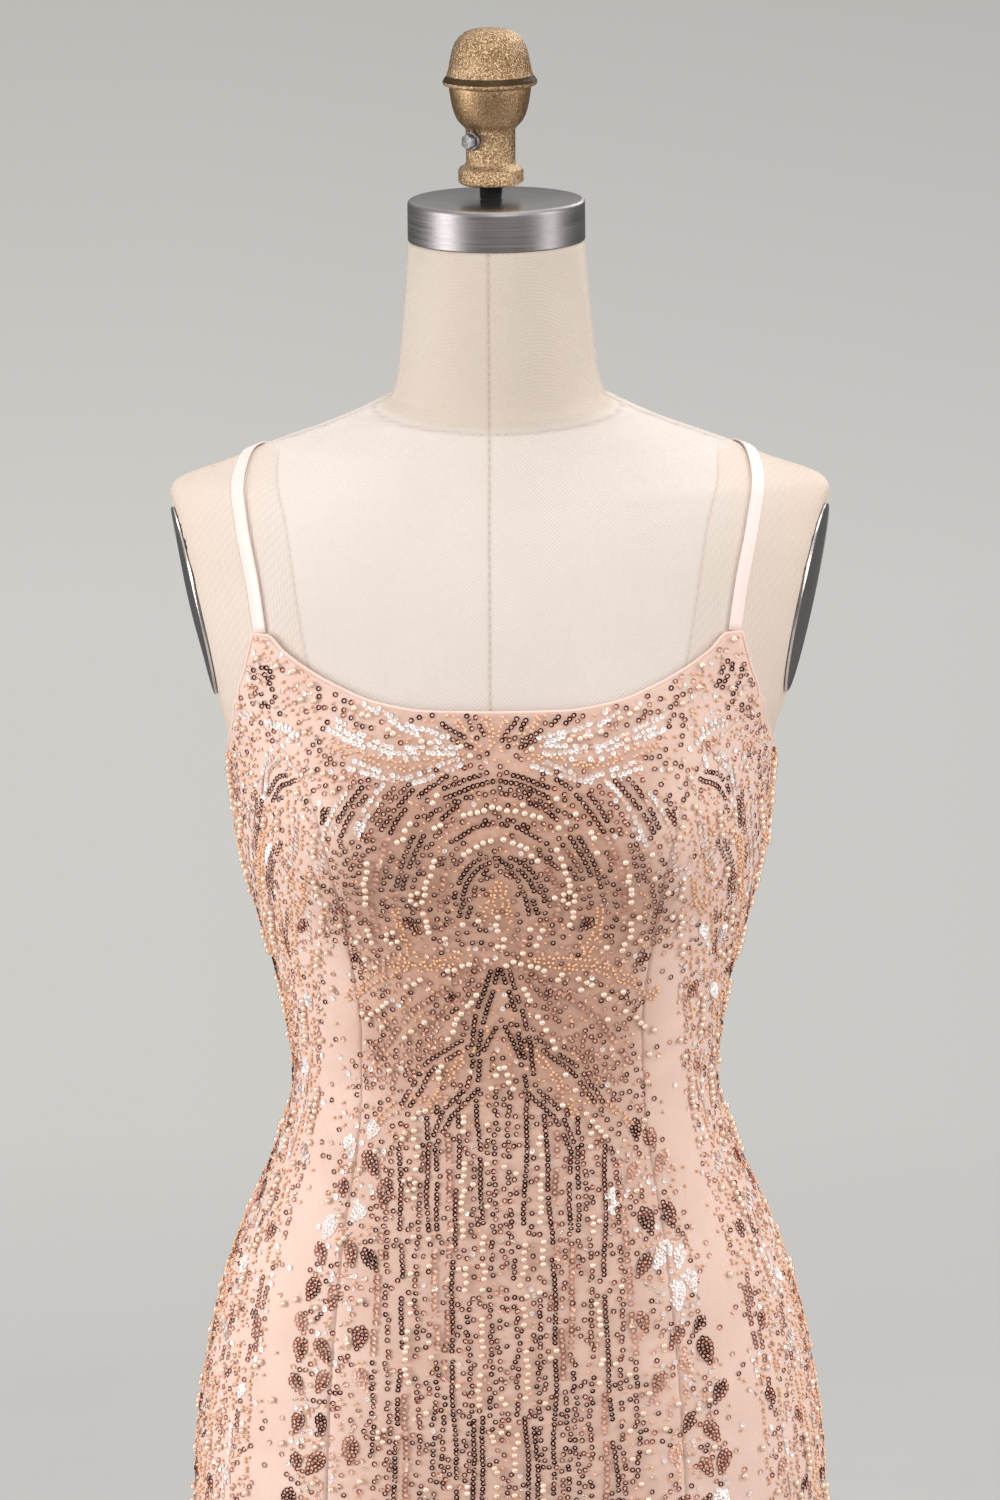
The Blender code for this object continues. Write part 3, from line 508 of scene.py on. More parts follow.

# %% [markdown]
# ## Creases
# A fitted dress has few creases, but no cloth is smooth. Each row below is one soft trough or ridge:
# where its middle lies, how long and how wide it is, how far it leans and how deep it goes.
# They gather where real cloth strains: at the waist, under the bust, over the hip and in the free cloth
# below the form. Beside each seam the stitches draw the cloth up into small puckers.

# %% The crease table
# middle height, distance round, half length, half width, degrees from level, lift (minus is a trough)
CREASES = (
    (1008, 96, 34, 7.0, 16, -0.9), (1001, 101, 30, 6.0, 12, 0.8), (988, 92, 38, 8.0, -6, -0.8),
    (972, 104, 30, 7.5, -20, 0.9), (955, 98, 26, 6.0, -28, -0.7), (1028, 108, 28, 6.5, 24, 0.7),
    (1052, 118, 36, 8.0, 34, -0.7), (1120, 142, 44, 9.0, 62, 0.9), (1132, 160, 40, 8.0, 70, -0.7),
    (1090, 60, 40, 10.0, 40, 0.5), (1104, 30, 34, 10.0, 20, -0.5), (1012, 20, 30, 9.0, 4, 0.5),
    (998, 44, 32, 8.0, -8, -0.5), (930, 128, 48, 9.0, -58, 0.9), (905, 142, 52, 9.0, -66, -0.8),
    (860, 60, 60, 14.0, 80, 0.6), (830, 112, 70, 12.0, 84, -0.9), (812, 126, 64, 10.0, 86, 1.0),
    (720, 40, 90, 15.0, 88, -0.9), (690, 96, 100, 14.0, 92, 1.4), (662, 128, 90, 12.0, 87, -1.2),
    (640, 168, 90, 15.0, 90, 1.5), (650, 212, 86, 14.0, 94, -1.3), (632, 6, 80, 14.0, 90, 1.2),
    (980, 210, 34, 7.0, 8, -0.9), (968, 222, 30, 6.5, 14, 0.9), (1002, 216, 30, 7.0, -10, 0.8),
    (1030, 236, 40, 8.0, -22, -0.7), (1010, 268, 34, 8.0, -12, 0.8), (992, 262, 30, 7.0, 6, -0.9),
    (950, 250, 44, 9.0, 38, 0.8), (1075, 230, 48, 9.0, -52, 0.7), (1110, 262, 46, 10.0, -70, -0.7),
    (900, 300, 60, 12.0, 70, 0.8), (820, 330, 70, 13.0, 84, -0.9), (760, 380, 80, 15.0, 90, 0.9),
    (700, 300, 90, 14.0, 92, 1.3), (660, 345, 92, 13.0, 88, -1.3), (640, 400, 90, 15.0, 90, 1.4),
    (655, 450, 86, 14.0, 92, -1.2), (980, 330, 26, 7.0, 10, 0.6))
PUCKER_REACH, PUCKER_LIFT, PUCKER_PITCH = 7.5, 0.28, 11.5
SEAM_DIP, SEAM_DIP_REACH = 0.4, 1.6
MOST_RISE, MOST_SINK = 2.2, -0.9
UNEVEN = (1.0, 0.72)  # the creases of the wearer's left, then right, side
CREASE_SLIDE = 9.0  # how far apart the two sides' creases are moved


def crease_lift(height, girth):
    """How far the outer face stands off its plain place, in millimetres."""
    height, girth = np.broadcast_arrays(np.asarray(height, float), np.asarray(girth, float))
    half = dressed.half_girth(height)
    girth = (girth + half) % (2 * half) - half
    lift = np.zeros(height.shape)
    for number, (middle, round_it, long, wide, lean, rise) in enumerate(CREASES):
        for side, strength in zip((1, -1), UNEVEN):
            slide = CREASE_SLIDE * sin(1.7 * number + side)
            up, over = height - middle - slide, side * girth - round_it - 0.6 * slide
            along = up * sin(radians(lean)) + over * cos(radians(lean))
            beside = up * cos(radians(lean)) - over * sin(radians(lean))
            lift += strength * rise * np.exp(-((along / long) ** 2) - (beside / wide) ** 2)
    for number, seam in enumerate((front_seam, side_seam, back_seam, centre_back)):
        away = np.abs(np.abs(girth) - seam(height))
        beat = np.sin(2 * pi * height / PUCKER_PITCH + number + 2.2 * np.sin(height / 23 + number))
        beat = beat + 0.6 * np.sin(2 * pi * height / (PUCKER_PITCH * 1.7) + 2 * number)
        lift += PUCKER_LIFT * beat * np.exp(-((away / PUCKER_REACH) ** 2))
        lift -= SEAM_DIP * np.exp(-((away / SEAM_DIP_REACH) ** 2))
    return np.clip(lift, MOST_SINK, MOST_RISE)


print(len(CREASES), "creases a side")

# %% [markdown]
# ## Cloth panels as thin shells
# Each panel is a grid of points on the figure, moved out to the cloth's two faces and closed round its
# edge, so it is a real wall of cloth. The grid is finer towards the seams, where the puckers are small. A
# UV map holds the distance round and the height in metres, so that the net's threads keep their size all
# over.

# %% Making meshes from arrays
def make_mesh(name, points, faces, smooth=True):
    """An object from points in metres and an array of faces that all have the same corner count."""
    mesh = bpy.data.meshes.new(name)
    corners = faces.shape[1]
    mesh.vertices.add(len(points))
    mesh.vertices.foreach_set("co", np.ascontiguousarray(points, np.float32).ravel())
    mesh.loops.add(faces.size)
    mesh.loops.foreach_set("vertex_index", np.ascontiguousarray(faces, np.int32).ravel())
    mesh.polygons.add(len(faces))
    mesh.polygons.foreach_set("loop_start", np.arange(0, faces.size, corners, dtype=np.int32))
    mesh.update(calc_edges=True)
    if smooth:
        mesh.shade_smooth()
    piece = bpy.data.objects.new(name, mesh)
    bpy.context.scene.collection.objects.link(piece)
    return piece


def add_uv(piece, places):
    """A UV map from one place in metres for each point."""
    layer = piece.data.uv_layers.new(name="cut")
    corner_points = np.empty(len(piece.data.loops), np.int32)
    piece.data.loops.foreach_get("vertex_index", corner_points)
    layer.uv.foreach_set("vector", np.ascontiguousarray(places[corner_points], np.float32).ravel())


def add_values(piece, name, values):
    """A named number for each point, which a material can read."""
    made = piece.data.attributes.new(name, "FLOAT", "POINT")
    made.data.foreach_set("value", np.ascontiguousarray(values, np.float32))


def quads_between(first, second):
    """Faces between two rows of point numbers."""
    return np.stack([first[:-1], first[1:], second[1:], second[:-1]], axis=1)


def tube_faces(rings, sides):
    """The faces of a tube whose points are numbered ring by ring."""
    numbers = np.arange(rings * sides).reshape(rings, sides)
    looped = np.concatenate([numbers, numbers[:, :1]], axis=1)
    return np.concatenate([quads_between(looped[r], looped[r + 1]) for r in range(rings - 1)])


def select_only(piece):
    bpy.ops.object.select_all(action="DESELECT")
    piece.select_set(True)
    bpy.context.view_layer.objects.active = piece


def edit_all(piece):
    """Opens a piece for editing with everything in it chosen."""
    select_only(piece)
    bpy.ops.object.mode_set(mode="EDIT")
    bpy.ops.mesh.select_all(action="SELECT")


def cap_ends(piece):
    """Closes the open ends and turns every face outward."""
    edit_all(piece)
    bpy.ops.mesh.fill_holes(sides=0)
    bpy.ops.mesh.select_all(action="SELECT")
    bpy.ops.mesh.normals_make_consistent(inside=False)
    bpy.ops.object.mode_set(mode="OBJECT")


def finish_piece(piece, material):
    """Gives a piece its material and lets it ride on the dress and its form."""
    piece.data.materials.clear()
    piece.data.materials.append(material)
    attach(piece, BODY)
    return piece


def triangles_in(piece):
    return sum(len(face.vertices) - 2 for face in piece.data.polygons)


print("mesh kit ready")

# %% Cutting one panel
CLOTH_IN, CLOTH_OUT = 1.4, 2.9  # lifts of the cloth's two faces from the form's skin
ROW_STEP = 4.0
EDGE_ROLL = 0.35
CREASE_INSIDE = 0.45  # the inner face follows this share of each crease
# The tan below is partly the net's own darker colour and partly painted shade on the middle of the front.
TAN_AND_SHADE_HIGH, TAN_AND_SHADE_LOW, TAN_AND_SHADE_ACROSS, TAN_AND_SHADE_FADE = 1218, 960, 87, 9
SKIRT_TAN_AND_SHADE, BODICE_TAN_AND_SHADE = 0.45, 0.55  # the tan of the whole middle, and how much the bodice adds
UPPER_ROWS, SHOULDER_ROWS, PEAK_ROWS = 18, 22, 12
EVEN_SHARE, CROWDED_SHARE = 0.62, 0.38  # how columns are shared out: evenly, and crowded to the seams
TOP_ROLL, HEM_ROLL = 2.0, 3.0


def tan_and_painted_shade(height, girth):
    """Darker net over the lining, with painted shade: most in the middle of the bodice, less lower down.
    """
    height, girth = np.broadcast_arrays(np.asarray(height, float), np.asarray(girth, float))
    wobble = 9 * np.sin(height / 31) + 6 * np.sin(height / 13 + 1)
    across = 1 / (1 + np.exp((np.abs(girth) - TAN_AND_SHADE_ACROSS + wobble) / TAN_AND_SHADE_FADE))
    bodice = np.clip((height - TAN_AND_SHADE_LOW) / 60, 0, 1) * np.clip((TAN_AND_SHADE_HIGH - height) / 42, 0, 1)
    return across * (SKIRT_TAN_AND_SHADE + BODICE_TAN_AND_SHADE * bodice)


def row_heights(edge, shoulder=None):
    """Heights from the hem to the top edge of each column, as a table of columns by rows."""
    level = np.linspace(HEM, YOKE, int(round((YOKE - HEM) / ROW_STEP)) + 1)
    yoke = np.full(len(edge), float(YOKE))
    columns = [np.broadcast_to(level, (len(edge), len(level)))]
    steps = [(yoke, edge, UPPER_ROWS)]
    if shoulder is not None:
        steps = [(yoke, shoulder, SHOULDER_ROWS), (shoulder, edge, PEAK_ROWS)]
    for low, high, count in steps:
        columns.append(low[:, None] + (high - low)[:, None] * (np.arange(1, count + 1) / count))
    return np.concatenate(columns, axis=1)


def shell_faces(columns, rows):
    """Outer faces, inner faces and the four edges of a shell of columns by rows points on each side."""
    outer = np.arange(columns * rows).reshape(columns, rows)
    inner = outer + outer.size
    faces = [quads_between(outer[:, row], outer[:, row + 1]) for row in range(rows - 1)]
    faces += [quads_between(inner[:, row + 1], inner[:, row]) for row in range(rows - 1)]
    faces += [quads_between(outer[:, -1], inner[:, -1]), quads_between(inner[:, 0], outer[:, 0]),
              quads_between(outer[0], inner[0]), quads_between(inner[-1], outer[-1])]
    return np.concatenate(faces)


def cut_panel(name, columns, start, end, edge_of, shoulder_of=None, mirrored=False):
    """A panel between two seams. start and end give a seam's distance round at each height."""
    even = np.linspace(0, 1, columns + 1)
    shares = EVEN_SHARE * even + CROWDED_SHARE * (0.5 - 0.5 * np.cos(pi * even))
    heights = row_heights(edge_of(shares), shoulder_of(shares) if shoulder_of else None)
    left, right = start(heights) + SEAM_GAP / 2, end(heights) - SEAM_GAP / 2
    girths = left + (right - left) * shares[:, None]
    if mirrored:
        girths, heights = -girths[::-1], heights[::-1]
    points, normals = dressed.at(heights, girths)
    crease = crease_lift(heights, girths)
    from_top, from_hem = heights[:, -1:] - heights, heights - HEM
    roll = EDGE_ROLL * (np.exp(-((from_top / TOP_ROLL) ** 2)) + np.exp(-((from_hem / HEM_ROLL) ** 2)))
    outer = points + normals * (CLOTH_OUT + crease + roll)[..., None]
    inner = points + normals * (CLOTH_IN + CREASE_INSIDE * crease)[..., None]
    both = np.concatenate([outer.reshape(-1, 3), inner.reshape(-1, 3)]) * MM
    panel = make_mesh(name, both, shell_faces(*heights.shape))
    places = np.stack([girths, heights], axis=-1).reshape(-1, 2) * MM
    add_uv(panel, np.concatenate([places, places]))
    # tan holds the net's darker colour together with painted shade.
    add_values(panel, "tan", np.tile(tan_and_painted_shade(heights, girths).reshape(-1), 2))
    widths = np.abs(girths[-1] - girths[0])
    tall = np.linalg.norm(np.diff(points, axis=1), axis=2).sum(axis=1)
    flat = (float(widths.max()) * MM, float(tall.max()) * MM)
    squares = np.cross(np.diff(outer, axis=0)[:, :-1], np.diff(outer, axis=1)[:-1])
    area = float((np.linalg.norm(squares, axis=2)).sum())
    return panel, flat, min(area * MM * MM, flat[0] * flat[1])


print("a panel has a row every", ROW_STEP, "mm up to the yoke")

# %% [markdown]
# ## Shared surface effects
# Cloth, canvas, satin and metal need a few patterns again and again: a plain weave, a net, soft mottling
# and fine drawn-out scratches. Each is a node group, built once and used with its own values in every
# material.

# %% Weave, net, mottle and scratches
def make_weave_group():
    """Plain weave: bumps where one thread passes over the next."""
    group, start, end = start_group(
        "plain_weave", (("Place", VECTOR, None), ("Threads per metre", FLOAT, 900.0)),
        (("Height", FLOAT),))
    across = node(group, "ShaderNodeVectorMath", {0: start.outputs["Place"]}, operation="MULTIPLY")
    group.links.new(start.outputs["Threads per metre"], across.inputs[1])
    parts = node(group, "ShaderNodeSeparateXYZ", {0: across.outputs[0]}).outputs
    first = sum_of(group, "SINE", sum_of(group, "MULTIPLY", parts[0], pi))
    second = sum_of(group, "SINE", sum_of(group, "MULTIPLY", parts[1], pi))
    height = sum_of(group, "MULTIPLY_ADD", sum_of(group, "MULTIPLY", first, second), 0.5, 0.5)
    group.links.new(height, end.inputs["Height"])
    return group


def make_net_group():
    """Fine net: thin threads that cross at a slant. Threads is 1 on a thread and 0 in a hole."""
    group, start, end = start_group(
        "fine_net", (("Place", VECTOR, None), ("Holes per metre", FLOAT, 760.0)), (("Threads", FLOAT),))
    parts = node(group, "ShaderNodeSeparateXYZ", {0: start.outputs["Place"]}).outputs
    threads = []
    for way in ("ADD", "SUBTRACT"):
        slant = sum_of(group, way, parts[0], parts[1])
        turn = sum_of(group, "MULTIPLY", slant, start.outputs["Holes per metre"])
        wave = sum_of(group, "ABSOLUTE", sum_of(group, "SINE", sum_of(group, "MULTIPLY", turn, pi)))
        threads.append(ranged(group, wave, 0.42, 0.12))
    group.links.new(sum_of(group, "MAXIMUM", threads[0], threads[1]), end.inputs["Threads"])
    return group


def make_mottle_group():
    """Soft uneven patches at two sizes, from 0 to 1."""
    group, start, end = start_group(
        "mottle", (("Place", VECTOR, None), ("Patches", FLOAT, 9.0), ("Specks", FLOAT, 120.0)),
        (("Value", FLOAT), ("Fine", FLOAT)))
    place, patches, specks = (start.outputs[name] for name in ("Place", "Patches", "Specks"))
    broad = node(group, "ShaderNodeTexNoise",
                 {"Vector": place, "Detail": 3.0, "Roughness": 0.55, "Scale": patches})
    fine = node(group, "ShaderNodeTexNoise",
                {"Vector": place, "Detail": 4.0, "Roughness": 0.65, "Scale": specks})
    group.links.new(ranged(group, broad.outputs[0], 0.32, 0.68), end.inputs["Value"])
    group.links.new(ranged(group, fine.outputs[0], 0.3, 0.7), end.inputs["Fine"])
    return group


def make_scratch_group():
    """Fine lines drawn out along one direction, as a lathe or a belt leaves them."""
    group, start, end = start_group(
        "drawn_lines", (("Place", VECTOR, None), ("Stretch", VECTOR, (8.0, 8.0, 900.0))),
        (("Lines", FLOAT),))
    stretched = node(group, "ShaderNodeVectorMath",
                     {0: start.outputs["Place"], 1: start.outputs["Stretch"]}, operation="MULTIPLY")
    lines = node(group, "ShaderNodeTexNoise",
                 {"Vector": stretched.outputs[0], "Scale": 1.0, "Detail": 3.0})
    group.links.new(ranged(group, lines.outputs[0], 0.3, 0.7), end.inputs["Lines"])
    return group


weave_group, net_group = make_weave_group(), make_net_group()
mottle_group, scratch_group = make_mottle_group(), make_scratch_group()


def woven(tree, place, threads):
    """The height of a plain weave with so many threads a metre."""
    return use_group(tree, weave_group, {"Place": place, "Threads per metre": threads})["Height"]


def mottled(tree, place, patches, specks):
    """Soft patches and fine specks, each from 0 to 1."""
    return use_group(tree, mottle_group, {"Place": place, "Patches": patches, "Specks": specks})


def drawn_lines(tree, place, stretch):
    return use_group(tree, scratch_group, {"Place": place, "Stretch": stretch})["Lines"]


print("shared effects:", [group.name for group in bpy.data.node_groups])

# %% [markdown]
# ## The dress cloth
# The real cloth is two layers worked as one: a smooth blush lining, and over it a fine net that carries
# the beads. Where the beading is thick the net is a darker tan, and the middle of the front is painted
# darker still, as painted shade from the thick beads and the dimmer light there. A number stored on each
# point, called tan, carries both and turns the net darker. The lining has a faint weave and a soft sheen,
# and the net's threads stand up a little.

# %% Dress cloth material
def make_dress_cloth():
    material, tree, shader = start_material("blush_net_over_lining", Roughness=0.58, Sheen_Weight=0.22,
                                            Sheen_Roughness=0.4, Specular_IOR_Level=0.32)
    place = cut_place(tree)
    tan = stored(tree, "tan")
    threads = use_group(tree, net_group, {"Place": place, "Holes per metre": 900.0})["Threads"]
    mottle = mottled(tree, place, 24.0, 260.0)
    lining = mixed(tree, mottle["Value"], colour(0.82, 0.585, 0.495), colour(0.76, 0.52, 0.435))
    # The tan colours below are partly the net's own and partly painted shade, strongest where tan is
    # high.
    warm = mixed(tree, mottle["Value"], colour(0.65, 0.375, 0.255), colour(0.60, 0.355, 0.262))
    ground = mixed(tree, tan, lining, mixed(tree, mottle["Fine"], warm, colour(0.48, 0.275, 0.200)))
    thread_colour = mixed(tree, tan, colour(0.87, 0.66, 0.58), colour(0.66, 0.45, 0.37))
    paint(tree, shader, mixed(tree, sum_of(tree, "MULTIPLY", threads, 0.55), ground, thread_colour))
    height = sum_of(tree, "MULTIPLY_ADD", woven(tree, place, 2300.0), 0.25, threads)
    raise_by(tree, shader, height, 0.16, 0.7)
    return material


dress_cloth = make_dress_cloth()
print("material", dress_cloth.name)

# %% Cut the seven panels
SHOULDER_BOW = 24


def front_start(height):
    return -front_seam(height)


def shoulder_line(share):
    """Where the front panel's evenly spaced rows end below the neckline."""
    return ARMHOLE_TOP - SHOULDER_BOW * (1 - (2 * share - 1) ** 2)


PANELS = (  # name, columns, from seam, to seam, top edge, is a pair
    ("front_center", 56, front_start, front_seam, neck_edge, False),
    ("side_front", 24, front_seam, side_seam, side_front_edge, True),
    ("side_back", 28, side_seam, back_seam, side_back_edge, True),
    ("back", 22, back_seam, centre_back, back_edge, True))
for panel_name, columns, seam_from, seam_to, top_edge, paired in PANELS:
    for side_word in ("left", "right") if paired else ("",):
        node_name = panel_name + ("_" + side_word if side_word else "")
        panel, flat, area = cut_panel(node_name + "_cloth", columns, seam_from, seam_to, top_edge,
                                      None if paired else shoulder_line, side_word == "right")
        finish_piece(panel, dress_cloth)
        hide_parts(node_name)
        print(f"{node_name}: cut {flat[0]:.3f} by {flat[1]:.3f} m, {area:.4f} square metres")

# %% [markdown]
# ## The bound edge
# A narrow strip of the lining is rolled over the raw top edge and stitched down. It runs from the centre
# back up to the strap, round the armhole, over the strap's foot and along the neckline. It is a small
# tube that follows the top rows of the panels, and it hides where the cloth's two layers end.

# %% The top edge as a path
def top_edge_path(count=60):
    """(distance round, height) along the top edge from the centre front to the centre back."""
    shares = np.linspace(0, 1, count)
    neck_heights = neck_edge(0.5 + shares / 2)
    neck = np.stack([front_seam(neck_heights) * shares, neck_heights], axis=1)
    drop = np.linspace(neck_heights[-1], ARMHOLE_TOP, 14)[1:]
    armhole = np.stack([front_seam(drop), drop], axis=1)
    rows = [neck, armhole]
    shares = shares[::2]
    for start, end, edge in ((front_seam, side_seam, side_front_edge),
                             (side_seam, back_seam, side_back_edge), (back_seam, centre_back, back_edge)):
        heights = edge(shares)
        girths = start(heights) + (end(heights) - start(heights)) * shares
        rows.append(np.stack([girths, heights], axis=1)[1:])
    return np.concatenate(rows)


def tube_along(name, points, normals, wide, thick, sides=8):
    """A tube round a line of points in millimetres. normals point away from the figure."""
    ahead = unit(np.gradient(points, axis=0))
    beside = unit(np.cross(ahead, normals))
    outward = np.cross(beside, ahead)
    angles = [2 * pi * i / sides for i in range(sides)]
    rings = np.stack([points + beside * (wide / 2 * cos(angle)) + outward * (thick / 2 * sin(angle))
                      for angle in angles], axis=1)
    tube = make_mesh(name, rings.reshape(-1, 3) * MM, tube_faces(len(points), sides))
    cap_ends(tube)
    return tube


TOP_EDGE = top_edge_path()
BINDING_WIDE, BINDING_THICK, BINDING_OUT = 1.8, 2.3, 0.15
BINDING_CREASE = 0.6  # the share of each crease that the binding follows


def make_binding(side, word):
    heights, girths = TOP_EDGE[:, 1], side * TOP_EDGE[:, 0]
    points, normals = dressed.at(heights, girths)
    lift = (CLOTH_IN + CLOTH_OUT) / 2 + BINDING_OUT + BINDING_CREASE * crease_lift(heights, girths)
    middle = points + normals * lift[:, None]
    return tube_along("edge_binding_" + word, middle, normals, BINDING_WIDE, BINDING_THICK)


def make_binding_material():
    material, tree, shader = start_material("blush_binding", Roughness=0.5, Sheen_Weight=0.25)
    mottle = mottled(tree, object_place(tree), 30.0, 500.0)
    paint(tree, shader, mixed(tree, mottle["Value"], colour(0.86, 0.62, 0.54), colour(0.80, 0.55, 0.47)))
    raise_by(tree, shader, mottle["Fine"], 0.12)
    return material


blush_binding = make_binding_material()
for side, word in SIDES:
    finish_piece(make_binding(side, word), blush_binding)
print("binding follows", len(TOP_EDGE), "points a side")

# %% [markdown]
# ## Shoulder straps
# Each strap is a narrow strip of satin with its edges turned under. It rises from the peak of the front,
# lies on the form's shoulder and runs down to the back edge. The route is found by looking out from the
# middle of the shoulder at ever steeper angles and stopping at the form's skin, so that the ribbon rests
# on it everywhere.

# %% Strap route and ribbon
STRAP_WIDTH, STRAP_LIFT, STRAP_WALL, STRAP_EYE = 7.5, 0.7, 1.2, 1264.7
# degrees up from straight ahead, distance across
STRAP_ROUTE = ((0, 133.5), (22, 138), (45, 144), (65, 147.5), (82, 145), (100, 138), (125, 128),
               (150, 118), (172, 109), (192, 100), (218, 92))
STRAP_STEPS = 72
STRAP_LAST_TURNS = np.linspace(190, 230, 401)
STRAP_REACH, STRAP_HALVINGS = 200.0, 40
STRAP_SECTION = ((-1.0, 0.25), (-0.93, 0.0), (0.93, 0.0), (1.0, 0.25), (1.0, 0.6), (0.94, 0.92),
                 (0.8, 1.0), (0.68, 0.9), (0.0, 0.96), (-0.68, 0.9), (-0.8, 1.0), (-0.94, 0.92),
                 (-1.0, 0.6))  # across and out, as shares of half the width and of the wall
strap_across = curve_of(STRAP_ROUTE)


def inside_figure(points):
    across, depth, height = points[:, 0], points[:, 1], points[:, 2]
    reach = np.where(depth < 0, figure_front(height), figure_back(height))
    power = figure_power(height)
    return (np.abs(across) / figure_half(height)) ** power + (np.abs(depth) / reach) ** power < 1


def shoulder_points(across, turns):
    """Where rays from the shoulder's middle meet the skin."""
    eye = np.stack([across, np.zeros(len(across)), np.full(len(across), STRAP_EYE)], axis=1)
    aim = np.stack([np.zeros(len(turns)), -np.cos(np.radians(turns)), np.sin(np.radians(turns))], axis=1)
    near, far = np.zeros(len(turns)), np.full(len(turns), STRAP_REACH)
    for _ in range(STRAP_HALVINGS):
        middle = (near + far) / 2
        inside = inside_figure(eye + aim * middle[:, None])
        near, far = np.where(inside, middle, near), np.where(inside, far, middle)
    return eye + aim * near[:, None]


def strap_turns():
    """Angles from the front peak to just above the back's top edge."""
    tries = STRAP_LAST_TURNS
    heights = shoulder_points(np.full(len(tries), float(STRAP_ROUTE[-1][1])), tries)[:, 2]
    return np.linspace(0, tries[heights > BACK_STRAP_TOP + SEAM_GAP][-1], STRAP_STEPS + 1)


def make_strap(side, word):
    turns = strap_turns()
    across = strap_across(turns)
    middle = shoulder_points(across, turns)
    beside = shoulder_points(across + 3, turns) - shoulder_points(across - 3, turns)
    ahead = np.gradient(middle, axis=0)
    normal = unit(np.cross(beside, ahead))
    edge = unit(np.cross(ahead, normal))
    rings = np.stack([middle + edge * (s * STRAP_WIDTH / 2) + normal * (STRAP_LIFT + t * STRAP_WALL)
                      for s, t in STRAP_SECTION], axis=1)
    rings[..., 0] *= side
    count, sides = rings.shape[:2]
    strap = make_mesh("strap_" + word + "_satin", rings.reshape(-1, 3) * MM, tube_faces(count, sides))
    length = length_along(middle)
    across_it = np.tile([s for s, _ in STRAP_SECTION], count) * STRAP_WIDTH / 2
    add_uv(strap, np.stack([across_it, np.repeat(length, sides)], axis=1) * MM)
    cap_ends(strap)
    return strap, float(length[-1]) * MM


def make_strap_satin():
    material, tree, shader = start_material("strap_satin", Roughness=0.42, Sheen_Weight=0.3,
                                            Sheen_Roughness=0.35)
    place = cut_place(tree)
    ribs = drawn_lines(tree, place, (60.0, 2600.0, 1.0))
    mottle = mottled(tree, place, 40.0, 600.0)
    tint = mixed(tree, mottle["Value"], colour(0.82, 0.655, 0.61), colour(0.76, 0.59, 0.545))
    paint(tree, shader, mixed(tree, ribs, tint, colour(0.85, 0.70, 0.66)))
    raise_by(tree, shader, ribs, 0.08, 0.6)
    return material


strap_satin = make_strap_satin()
for side, word in SIDES:
    strap, strap_length = make_strap(side, word)
    finish_piece(strap, strap_satin)
    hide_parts("strap_" + word)
print("straps", round(strap_length, 3), "m long")

# %% [markdown]
# ## The canvas form
# The form is a hard shell under a skin of sewn canvas. Its seams are the lines that a dressmaker measures
# from: one down the centre front and back, curved ones over each bust and shoulder blade, one down each
# side and one round the root of the neck. The skin is one grid whose columns run along those seams, so
# each seam can be a narrow groove. A number called seam marks them for the material, and another called
# gore marks the side gores, which are cut from a canvas with a slanted twill. A third, called neck, marks
# the neck above its seam, where the canvas is painted darker as painted shade.

# %% Seams of the canvas
CENTRE_SEAM_SHIFT = -3.5
FORM_PRINCESS_FRONT = ((700, 96), (985, 62), (1088, 74), (1190, 96), (1245, 106), (1280, 112),
                       (1324, 119), (1350, 125), (1361, 125), (1372, 94), (1383, 67), (1476, 46))
FORM_PRINCESS_BACK = ((700, 88), (985, 50), (1088, 66), (1190, 86), (1245, 98), (1300, 110), (1350, 122),
                      (1361, 124), (1372, 92), (1383, 65), (1476, 44))
SHOULDER_SHARE_FRONT, SHOULDER_SHARE_BACK = 0.965, 0.95  # how near the ridge the seams may run
GROOVE_DEPTH, GROOVE_REACH = 0.4, 0.9
CURVED_SEAM = 0.6  # how plain the curved seams are beside the centre ones
NECK_SEAM_FRONT, NECK_SEAM_RISE = 1375.0, 17.0
FORM_FOOT_ROUND = 8
COLUMNS_A_GORE = np.array((0, 0.5, 1.1, 2.4))  # millimetres from a seam to the columns beside it
GORE_MIDDLE = 13  # columns in the open middle of a gore
GORES, SIDE_GORES = 8, (1, 2, 5, 6)
SEAM_FADE_LOW, SEAM_FADE_HIGH, GORE_TOP, GORE_FADE = 1356, 1361, 1362, 5
SIDE_SEAM_FADING, SIDE_SEAM_STAYING, SIDE_SEAM_TOP = 0.8, 0.2, 1390  # it runs up the neck, shallower
FOOT_RINGS = (1.0, 0.8, 0.45)  # shares of the quarter circle that rounds the lower edge
FOOT_RADIUS = 180
NECK_SEAM_REACH, NECK_FADE, LEAST_UPRIGHT = 0.9, 4, 0.25


def form_rows():
    body = np.linspace(FORM_FOOT + FORM_FOOT_ROUND, 1180, 22)
    return np.concatenate([body, np.arange(1184, 1325, 4.0), np.arange(1325, 1346, 1.6),
                           np.arange(1346, 1396, 1.2), np.arange(1398, 1476, 5.0), [1476]])


def form_seams(heights):
    """Girths of the canvas seams at each height, from the centre back round the right side first."""
    centre = bare.girth_at(heights, np.full(len(heights), abs(CENTRE_SEAM_SHIFT))) * -1
    half = figure_half(heights)
    front_across = np.minimum(curve_of(FORM_PRINCESS_FRONT)(heights), SHOULDER_SHARE_FRONT * half)
    back_across = np.minimum(curve_of(FORM_PRINCESS_BACK)(heights), SHOULDER_SHARE_BACK * half)
    front = bare.girth_at(heights, front_across)
    side = bare.side_girth(heights)
    back = bare.girth_at(heights, back_across, behind=True)
    whole = bare.half_girth(heights)
    return np.stack([-whole, -back, -side, -front, centre, front, side, back, whole], axis=1)


